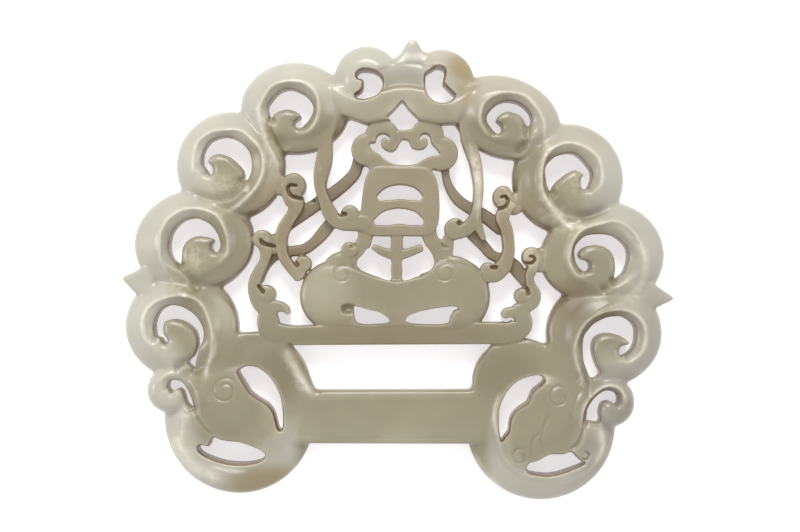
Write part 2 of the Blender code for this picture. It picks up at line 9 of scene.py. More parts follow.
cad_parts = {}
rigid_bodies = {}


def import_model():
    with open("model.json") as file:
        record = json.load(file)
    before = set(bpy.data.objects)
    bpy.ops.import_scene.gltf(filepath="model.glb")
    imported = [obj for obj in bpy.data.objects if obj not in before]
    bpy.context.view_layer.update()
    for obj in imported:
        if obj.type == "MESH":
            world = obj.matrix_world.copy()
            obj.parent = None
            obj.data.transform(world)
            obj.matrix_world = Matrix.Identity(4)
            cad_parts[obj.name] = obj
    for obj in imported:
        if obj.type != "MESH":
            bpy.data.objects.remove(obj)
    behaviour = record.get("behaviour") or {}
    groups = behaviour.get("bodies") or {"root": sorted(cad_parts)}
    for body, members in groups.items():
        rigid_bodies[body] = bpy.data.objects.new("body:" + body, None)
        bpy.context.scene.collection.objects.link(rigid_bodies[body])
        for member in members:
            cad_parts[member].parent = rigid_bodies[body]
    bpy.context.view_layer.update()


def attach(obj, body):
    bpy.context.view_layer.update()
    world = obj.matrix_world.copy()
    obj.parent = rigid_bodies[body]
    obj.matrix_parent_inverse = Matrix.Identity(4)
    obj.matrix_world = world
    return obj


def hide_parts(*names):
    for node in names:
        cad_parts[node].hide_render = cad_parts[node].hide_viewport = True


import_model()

mm = 0.001

# The plaque is drawn in millimetres, +X right, +Y towards its top, +Z up from its flat back.
# An oval is x, y, half length, half width, tilt in degrees. A path point is x, y, half width.

# how the solid is cut, put together and refined
carving = {
    "below": -1.0, "clear": 6.9, "through": -2.0,      # where forms start, and where cutters start and end
    "lift": 0.011,                                     # so that no two tops share a plane
    "step": 0.9, "turn": 12.0, "spacing": 0.8, "bendShare": 0.7, "straight": 0.02, "openRoom": 100.0,
    "endAngles": (25, 50, 70, 84), "merge": 0.001,
    "flowing": ("borderLobe", "topLobe", "smallLobe", "ring", "shoulder", "ringCreature", "bridge", "leftJamb",
                "rightJamb", "bar", "leftWeb", "innerSide", "leftFill", "rightFill", "leftSpike", "rightSpike",
                "topSpike"),
    "core": {"size": (30, 6, 5), "place": (-1, -26.5, 2)},
    "backBlock": {"size": (130, 120, 5), "place": (0, 0, -2.5), "cuts": 31},
    "blendVoxel": 0.3, "blendTurns": 26, "voxel": 0.17, "softTurns": 3, "smoothing": 0.5, "triangles": 190000,
}


def softLine(points, closed=False, fine=24):
    # many points on a smooth line through the drawn ones
    count = len(points)
    places = [np.array(point, dtype=float) for point in points]
    line = []
    for i in range(count if closed else count - 1):
        near = [i + k for k in (-1, 0, 1, 2)]
        near = [k % count if closed else min(max(k, 0), count - 1) for k in near]
        p, q, r, s = [places[k] for k in near]
        for j in range(fine):
            t = j / fine
            line.append(q + 0.5 * t * (r - p + t * (2 * p - 5 * q + 4 * r - s + t * (3 * q - p - 3 * r + s))))
    if not closed:
        line.append(places[-1])
    return np.array(line)


def stations(line):
    # a station wherever the line has run one step or turned by one turn
    runs = np.diff(line[:, :2], axis=0)
    lengths = np.hypot(runs[:, 0], runs[:, 1])
    headings = np.unwrap(np.arctan2(runs[:, 1], runs[:, 0]))
    turned = np.abs(np.diff(headings, prepend=headings[0]))
    cost = np.concatenate([[0.0], np.cumsum(lengths / carving["step"] + turned / math.radians(carving["turn"]))])
    pieces = max(2, math.ceil(cost[-1] * carving["spacing"]))
    return np.searchsorted(cost, np.linspace(0.0, cost[-1], pieces + 1) - 1e-9)


def bendRoom(line, place, side, span=12):
    # how far a section may reach each way before it passes the middle of the bend
    free = carving["openRoom"]
    before = line[max(place - span, 0), :2]
    after = line[min(place + span, len(line) - 1), :2]
    coming = line[place, :2] - before
    going = after - line[place, :2]
    run, on = np.hypot(*coming), np.hypot(*going)
    if run == 0.0 or on == 0.0:
        return free, free
    cross = coming[0] * going[1] - coming[1] * going[0]
    turned = abs(math.atan2(cross, coming @ going))
    if turned < carving["straight"]:
        return free, free
    reach = carving["bendShare"] * (run + on) / 2 / turned
    inward = (going / on - coming / run) @ side < 0
    return (reach, free) if inward else (free, reach)


def turningWay(line):
    runs = np.diff(line[:, :2], axis=0)
    turning = (runs[:-1, 0] * runs[1:, 1] - runs[:-1, 1] * runs[1:, 0]).sum()
    return -1.0 if turning > 0 else 1.0


def grownFace(work, face, spots, closing):
    # extrude a face and move the new one to its spots; the face left inside goes
    grown = bmesh.ops.extrude_face_region(work, geom=[face])["geom"]
    new = [item for item in grown if isinstance(item, bmesh.types.BMFace)][0]
    for vert, spot in zip(new.verts, spots):
        vert.co = spot
    if closing and face.is_valid:
        bmesh.ops.delete(work, geom=[face], context="FACES_ONLY")
    return new


def addForm(work, name, group):
    bmesh.ops.remove_doubles(work, verts=work.verts, dist=carving["merge"])
    bmesh.ops.recalc_face_normals(work, faces=work.faces)
    mesh = bpy.data.meshes.new(name)
    work.to_mesh(mesh)
    work.free()
    form = bpy.data.objects.new(name, mesh)
    group.objects.link(form)
    return form


def block(name, group, shape):
    work = bmesh.new()
    bmesh.ops.create_cube(work, size=1.0)
    if "cuts" in shape:
        bmesh.ops.subdivide_edges(work, edges=work.edges[:], cuts=shape["cuts"], use_grid_fill=True)
    bmesh.ops.scale(work, vec=shape["size"], verts=work.verts)
    bmesh.ops.translate(work, vec=shape["place"], verts=work.verts)
    return addForm(work, name, group)


def sweep(name, group, points, section, roundEnds):
    # extrude one cross-section along a smooth line; section(half) gives its (offset, z) points
    line = softLine(points)
    outward = turningWay(line)
    last = len(line) - 1
    spots = []
    for place in stations(line):
        ahead, behind = line[min(place + 1, last)], line[max(place - 1, 0)]
        run = (ahead - behind)[:2]
        run = run / np.hypot(*run)
        side = np.array((-run[1], run[0])) * outward
        spots.append((line[place, :2], side, line[place, 2], bendRoom(line, place, side)))
    for end, way in ((0, -1.0), (-1, 1.0)):
        middle, side, half, room = spots[end]
        run = np.array((side[1], -side[0])) * outward * way
        extra = []
        for angle in carving["endAngles"]:
            reach, narrow = math.sin(math.radians(angle)), math.cos(math.radians(angle))
            extra.append((middle + run * half * roundEnds * reach, side, half * narrow, room))
        spots = extra[::-1] + spots if end == 0 else spots + extra
    work = bmesh.new()
    face = None
    for middle, side, half, room in spots:
        ring = []
        for off, z in section(half):
            off = max(off, -room[0]) if off < 0 else min(off, room[1])
            ring.append((middle[0] + side[0] * off, middle[1] + side[1] * off, z))
        if face is None:
            face = start = work.faces.new([work.verts.new(spot) for spot in ring])
        else:
            face = grownFace(work, face, ring, closing=face is not start)
    return addForm(work, name, group)


# domes: top is the height of the crown, drop its fall to the rim; a flat below 1 is where an even
# slope starts, above 1 it says how square a rounded shoulder is
domes = {
    "borderLobe": {"top": 6.4, "drop": 2.9, "flat": 0.55, "steps": 72, "ovals": [(-18.7, 29.4, 9.9, 8.4, 0),
        (-30.4, 18.9, 9.9, 9.9, 0), (-37.1, 5.1, 10.9, 9.5, 12), (-39.3, -10.2, 10.3, 9.6, 0),
        (19.6, 27.8, 10.3, 7.3, -20), (30.9, 16.5, 10.1, 10.1, 0), (37.6, 2.7, 10.8, 9.8, 0),
        (37.5, -11.5, 10.5, 9.7, 0)]},
    "topLobe": {"top": 6.2, "drop": 2.4, "flat": 0.5, "steps": 56, "ovals": [(-5.6, 34.7, 6, 6, 0),
        (7.8, 34, 6.1, 6.1, 0)]},
    "smallLobe": {"top": 6, "drop": 2.8, "flat": 4, "steps": 48, "ovals": [(-41.5, -21.8, 4.1, 4.1, 0),
        (38.5, -24, 4.5, 4.5, 0)]},
    "ring": {"top": 6, "drop": 2.9, "flat": 0.6, "steps": 84, "ovals": [(-28.9, -26.9, 13.6, 13.7, 0),
        (26, -28.4, 13.5, 13.4, 0)]},
    "innerSide": {"top": 5.6, "drop": 1.3, "flat": 4, "steps": 60, "ovals": [(-18.1, 27.5, 7.5, 6.4, 0),
        (-28.1, 17.2, 7, 7, 0), (-34.4, 4.4, 8.1, 7.2, 12), (-36.4, -10.5, 7.4, 7.2, 0),
        (19, 25.9, 8.1, 5.5, -20), (28.6, 14.8, 7.2, 7.2, 0), (34.1, 2.2, 8.2, 7.6, 0),
        (34.5, -11.5, 7.5, 7.4, 0)]},
    "shoulder": {"top": 5.35, "drop": 1.2, "flat": 4, "steps": 60, "ovals": [(-24.6, -18.5, 7, 7.2, 0),
        (22.2, -20.4, 8.7, 8, 0)]},
    "ringCreature": {"top": 6.5, "drop": 2.2, "flat": 3.2, "steps": 56, "ovals": [(-30.2, -24.5, 6.5, 6.9, 0),
        (27.3, -25.8, 6.9, 7.3, 0)]},
    "pair": {"top": 5.6, "drop": 1.5, "flat": 4.5, "steps": 56, "ovals": [(-11.3, -4.7, 6.5, 6.5, 0),
        (9.8, -4.7, 6.9, 7.1, 0)]},
    "pairEar": {"top": 5.2, "drop": 0.7, "flat": 3.4, "steps": 40, "ovals": [(-10.5, 1.3, 3, 2, 20),
        (11.5, 0.6, 3.2, 1.6, -25)]},
    "emblemHead": {"top": 4.9, "drop": 0.4, "flat": 7, "steps": 40, "ovals": [(-2.9, 24.2, 3.1, 3.1, 0),
        (5.1, 24.4, 3.2, 3.2, 0), (-5.5, 21.8, 3, 3, 0), (7.8, 21.1, 3.1, 3.1, 0)]},
    "hookHead": {"top": 5.2, "drop": 0.5, "flat": 6, "steps": 32, "ovals": [(-8.7, 10.1, 1.7, 1.7, 0),
        (-18.9, 15.3, 2.2, 2.3, 0), (-17.2, 1.1, 1.5, 1.5, 0), (-24.6, 5.6, 1.7, 1.7, 0),
        (-23.9, -4.4, 1.7, 1.7, 0), (10.3, 7.45, 1.9, 2, 0), (19, 13.2, 1.8, 2.1, 0),
        (16.3, -0.1, 1.4, 1.5, 0), (24.2, 2.4, 1.7, 1.8, 0), (22.6, -4.7, 1.5, 1.4, 0),
        (-8.8, 3.6, 1.5, 1.5, 0)]},
    "web": {"top": 4.8, "drop": 0.5, "flat": 6, "steps": 24, "ovals": [(-22.5, 4.7, 1.5, 1.9, 0),
        (21.2, 12, 1.8, 2, 0), (25.9, 1.8, 1.6, 2.3, 0), (-21.3, 15.4, 1.2, 1.9, 0)]},
}
# where a dome's profile has points, how an even slope bends, and its last step down
domeShape = {"angles": range(0, 78, 6), "rim": [0.965, 1.0], "curve": 1.25, "lip": 0.35}


def dome(name, group, oval, sizes, lift):
    x, y, halfLength, halfWidth, tilt = oval
    top, drop, flat = sizes["top"] + lift, sizes["drop"], sizes["flat"]
    work = bmesh.new()
    parts = [math.sin(math.radians(angle)) for angle in domeShape["angles"]] + domeShape["rim"]
    profile = []
    for part in parts:
        if flat < 1:
            slope = max(0.0, part - flat) / (1 - flat)
            lip = domeShape["lip"] if part == parts[-1] else 0.0
            profile.append((part, top - drop * slope ** domeShape["curve"] - lip))
        else:
            profile.append((part, top - drop * (1 - math.sqrt(max(0.0, 1 - part ** flat)))))
    profile += [(1.0, carving["below"]), (0.0, carving["below"])]
    verts = [work.verts.new((part, 0.0, z)) for part, z in profile]
    edges = [work.edges.new(pair) for pair in zip(verts, verts[1:])]
    bmesh.ops.spin(work, geom=verts + edges, cent=(0, 0, 0), axis=(0, 0, 1), angle=2 * math.pi,
                   steps=sizes["steps"], use_merge=True)
    bmesh.ops.scale(work, vec=(halfLength, halfWidth, 1.0), verts=work.verts)
    turn = Matrix.Rotation(math.radians(tilt), 3, "Z")
    bmesh.ops.rotate(work, cent=(0, 0, 0), matrix=turn, verts=work.verts)
    bmesh.ops.translate(work, vec=(x, y, 0.0), verts=work.verts)
    addForm(work, name, group)


# bands: ribbons at the upper level, straps at the lower one, curls and the emblem's limbs
bands = {
    "ribbon": {"top": 5.15, "edge": 0.35, "paths": {
        "leftHanging": [(-12.4, 26.4, 0.4), (-12.9, 23.6, 1), (-13.4, 20, 1.45), (-14, 17.2, 1.3),
            (-14.05, 15, 1.05), (-13.3, 12.5, 1.05), (-12.5, 10.6, 1.3), (-11.5, 9.2, 1.3), (-10.1, 8.5, 1.3),
            (-8.3, 8.5, 1.4), (-5.8, 8.5, 1.5)],
        "leftInner": [(-19.6, 14, 1.6), (-18.7, 12.2, 1.7), (-18.7, 10.9, 1.2), (-19.5, 9.5, 1.05),
            (-20.5, 8, 1.15), (-21.15, 6.2, 1.1), (-21.05, 4, 0.95), (-20.6, 2.1, 0.95), (-19.4, 0.5, 1),
            (-17.7, -0.8, 1.5)],
        "leftOuter": [(-24.9, 5.2, 1), (-23.9, 3.5, 1.1), (-24.2, 1.6, 0.9), (-25.2, -0.2, 1),
            (-26, -2.2, 1.1), (-25.9, -4.2, 1.2), (-25, -6, 1.4), (-23.6, -7.4, 1.4)],
        "rightHanging": [(11.9, 27, 0.9), (12.7, 23.6, 1.2), (13.9, 20, 1.1), (14.4, 17.2, 1), (14.6, 15, 0.9),
            (14.4, 12, 0.85), (13.9, 9.6, 1), (12.7, 7.7, 1.3), (11, 7.1, 1.5)],
        "rightEnd": [(14.4, 12, 0.8), (14.2, 9.5, 0.9), (14.7, 7.4, 0.75), (15.5, 5.6, 0.5)],
        "rightInner": [(20.2, 12, 1.2), (18.9, 9.6, 1.2), (19.6, 7.5, 1.1), (20.05, 5, 1.05), (20, 3, 1.1),
            (19.2, 0.8, 1.4), (17.6, -0.7, 1.5), (16, -0.9, 1.3)],
        "rightOuter": [(25, 2.4, 1), (24.5, 0.5, 1), (23.8, -1.2, 0.8), (24, -2.6, 0.8), (24.8, -4.2, 1),
            (24.6, -5.6, 1.1), (23.4, -6.6, 1.1), (21.5, -7.3, 1.1)]}},
    "strap": {"top": 3.3, "edge": 0.4, "paths": {
        "leftHigh": [(-7.1, 20.4, 1), (-8, 17.5, 1.1), (-11, 14.6, 1.15), (-14.5, 12.2, 1.2), (-18, 9.8, 1.2),
            (-20.3, 8, 1)],
        "leftLow": [(-12.2, 8.6, 1.1), (-13.8, 6.6, 1.15), (-15.3, 5, 1), (-17.2, 3.75, 1),
            (-19.9, 3.35, 0.95), (-22.2, 2.8, 1), (-24.2, 1, 1), (-25.3, -1.8, 0.8)],
        "rightHigh": [(8.6, 19.5, 0.8), (8.7, 17.2, 0.7), (9.3, 15.2, 0.8), (10.8, 12.9, 1), (13, 11.3, 1.05),
            (16, 9.7, 1.2), (18.8, 7.3, 1.1)],
        "rightLow": [(12.5, 7.6, 1), (13.6, 6.3, 1), (15.4, 4.6, 1), (17, 2.8, 0.95), (18.6, 2.1, 0.95),
            (21, 0.8, 1.3), (22.6, -1.3, 1.1), (24, -3.2, 0.8)]}},
    "curl": {"top": 5.2, "edge": 0.3, "paths": {
        "left": [(-12.4, -11.6, 1.6), (-19.6, -11.8, 1.75), (-22.9, -11, 1.9), (-23.6, -9, 1.9),
            (-23.1, -7.3, 1.4), (-21.9, -6.6, 1.05), (-20.5, -6.95, 0.7), (-19.9, -7.8, 0.4)],
        "right": [(14.4, -11.5, 1.5), (19, -11.6, 1.8), (22, -10.6, 1.9), (22.6, -8.8, 1.6),
            (21.4, -7.75, 1.05), (20, -7.7, 0.9), (19.2, -8.2, 0.7)]}},
    "limb": {"top": 4.75, "edge": 0.3, "paths": {
        "leftFoot": [(-5.6, 8, 1.5), (-6.2, 5.1, 1.3), (-7.6, 2.9, 1.6), (-8.7, 0.4, 1.6)],
        "rightFoot": [(5.3, 8, 1.5), (6, 5.5, 1.3), (7.6, 3.5, 1.5), (8.7, 0.4, 1.6)],
        "clapper": [(-4.4, 4, 0.7), (-0.2, 2.7, 0.9), (4.2, 4, 0.7)],
        "rightLink": [(9.4, 6.4, 0.8), (8.9, 4.6, 1.2), (8.6, 2, 1.2)],
        "post": [(-0.2, 8, 1.1), (-0.2, -3, 1.1)]}},
}
# where a band's crown has points, how square its shoulder is, how far its ends run on
bandShape = {"angles": (-90, -72, -54, -36, -16, 16, 36, 54, 72, 90), "square": 4, "roundEnds": 0.5}


def band(name, group, points, top, edge):
    # a ribbon with a soft shoulder on both sides
    across = [math.sin(math.radians(angle)) for angle in bandShape["angles"]]
    crown = [(u, top - edge * (1 - math.sqrt(max(0.0, 1 - abs(u) ** bandShape["square"])))) for u in across]

    def section(half):
        return [(-half, carving["below"])] + [(half * u, z) for u, z in crown] + [(half, carving["below"])]
    sweep(name, group, points, section, bandShape["roundEnds"])


# flat pieces by their corners, with a bevel of edge round the top
plates = {
    "bridge": {"top": 5.8, "edge": 0.8, "soft": False, "corners": [(-12.6, 33.6), (-8.5, 33.8), (-4.4, 36.6),
        (0.4, 37.5), (6, 36.6), (9.8, 33.6), (14.4, 33.8), (10.9, 26.5), (7.6, 26.3), (0.7, 27.6),
        (-5.8, 26.4), (-10.2, 28)]},
    "leftSpike": {"top": 4.5, "edge": 0.9, "soft": False, "corners": [(-44.5, 1.3), (-47.3, 0), (-50.1, -1.3),
        (-50.1, -1.6), (-47.8, -4.1), (-44.5, -5.6)]},
    "rightSpike": {"top": 4.5, "edge": 0.9, "soft": False, "corners": [(44, -1.2), (46.7, -2.7), (50.1, -5),
        (50.1, -5.3), (46.7, -6.9), (44, -8.2)]},
    "topSpike": {"top": 5, "edge": 0.9, "soft": True, "corners": [(-0.9, 37.8), (0.5, 39.3), (1.5, 41),
        (2.1, 41.65), (3.1, 41.7), (3.8, 41), (4.3, 39.9), (5.6, 39.2), (6, 37.8), (2.4, 36.5)]},
    "bell": {"top": 5, "edge": 0.3, "soft": True, "corners": [(-4.9, 18.2), (0.5, 18.6), (6, 18), (7.5, 12.5),
        (6.4, 6.8), (0.4, 6.2), (-6, 6.8), (-6.6, 12.5)]},
    "neck": {"top": 4.85, "edge": 0.25, "soft": False, "corners": [(-4.9, 17.4), (5.8, 17.4), (8.2, 21),
        (2.6, 25.4), (0.2, 25.4), (-6.4, 21)]},
    "platform": {"top": 5.2, "edge": 0.3, "soft": False, "corners": [(-19.5, -13.6), (19.5, -13.4),
        (19.5, -9.4), (-18.5, -10.1)]},
    "pairMiddle": {"top": 5.35, "edge": 0.6, "soft": False, "corners": [(-9.6, 1.1), (-4.2, -1.1), (-0.2, -2),
        (4, -1.1), (7.6, 0.7), (9.5, -10.2), (-10.5, -10.2)]},
    "leftWeb": {"top": 5.3, "edge": 0.8, "soft": False, "corners": [(-10.2, 28.6), (-12.4, 21.9),
        (-15.3, 21.6), (-19, 24), (-16, 29.5)]},
    "leftFill": {"top": 5.5, "edge": 0.8, "soft": False, "corners": [(-33.5, -8), (-30.6, -8.6),
        (-29.4, -11.2), (-27.6, -14), (-28.5, -20), (-34, -20), (-34.6, -14)]},
    "rightFill": {"top": 5.5, "edge": 0.8, "soft": False, "corners": [(32.5, -7), (29, -8.5), (27.8, -12),
        (26.6, -14.5), (27.4, -20.5), (32.5, -20.5), (32, -14)]},
    "leftJamb": {"top": 5.12, "edge": 0.3, "soft": False, "corners": [(-29.2, -11.4), (-25.2, -11.2),
        (-23.5, -12.6), (-19.9, -12.6), (-19.3, -13.7), (-18.2, -15.1), (-17, -16.9), (-16.3, -18.6),
        (-15.8, -20.1), (-15.1, -21.6), (-14.3, -22.6), (-20.5, -26), (-25, -20), (-28, -15)]},
    "rightJamb": {"top": 5.1, "edge": 0.5, "soft": False, "corners": [(26.9, -13.5), (23.8, -12.5),
        (20.5, -12.9), (17, -13.6), (14.2, -17.4), (13.1, -22.3), (19.5, -22.6), (25.5, -18.5)]},
    "bar": {"top": 5.2, "edge": 0.6, "soft": False, "corners": [(-21.5, -21.8), (19, -21.7), (19.5, -31.5),
        (-21.5, -31.4)]},
}


def plate(name, group, sizes):
    # a flat outline, extruded and bevelled round its top
    top, corners = sizes["top"], sizes["corners"]
    line = softLine(corners, closed=True, fine=6) if sizes["soft"] else corners
    work = bmesh.new()
    face = work.faces.new([work.verts.new((x, y, carving["below"])) for x, y in line])
    grown = bmesh.ops.extrude_face_region(work, geom=[face])["geom"]
    lifted = [item for item in grown if isinstance(item, bmesh.types.BMVert)]
    bmesh.ops.translate(work, vec=(0, 0, top - carving["below"]), verts=lifted)
    rim = [item for item in work.edges if all(vert.co.z > top - 0.01 for vert in item.verts)]
    bmesh.ops.bevel(work, geom=rim, offset=sizes["edge"], affect="EDGES", segments=4, profile=0.5, material=-1,
                    clamp_overlap=True)
    addForm(work, name, group)


def raiseForms(softGroup, crispGroup):
    # the border's lobes, rings and bar flow into each other; the rest stays crisp
    groups = {True: softGroup, False: crispGroup}
    for family, sizes in domes.items():
        for number, oval in enumerate(sizes["ovals"], 1):
            dome("%s%d" % (family, number), groups[family in carving["flowing"]], oval, sizes,
                 carving["lift"] * number)
    for family, sizes in bands.items():
        for number, (name, points) in enumerate(sizes["paths"].items(), 1):
            band(family + name, crispGroup, points, sizes["top"] + carving["lift"] * number, sizes["edge"])
    for name, sizes in plates.items():
        plate(name, groups[name in carving["flowing"]], sizes)


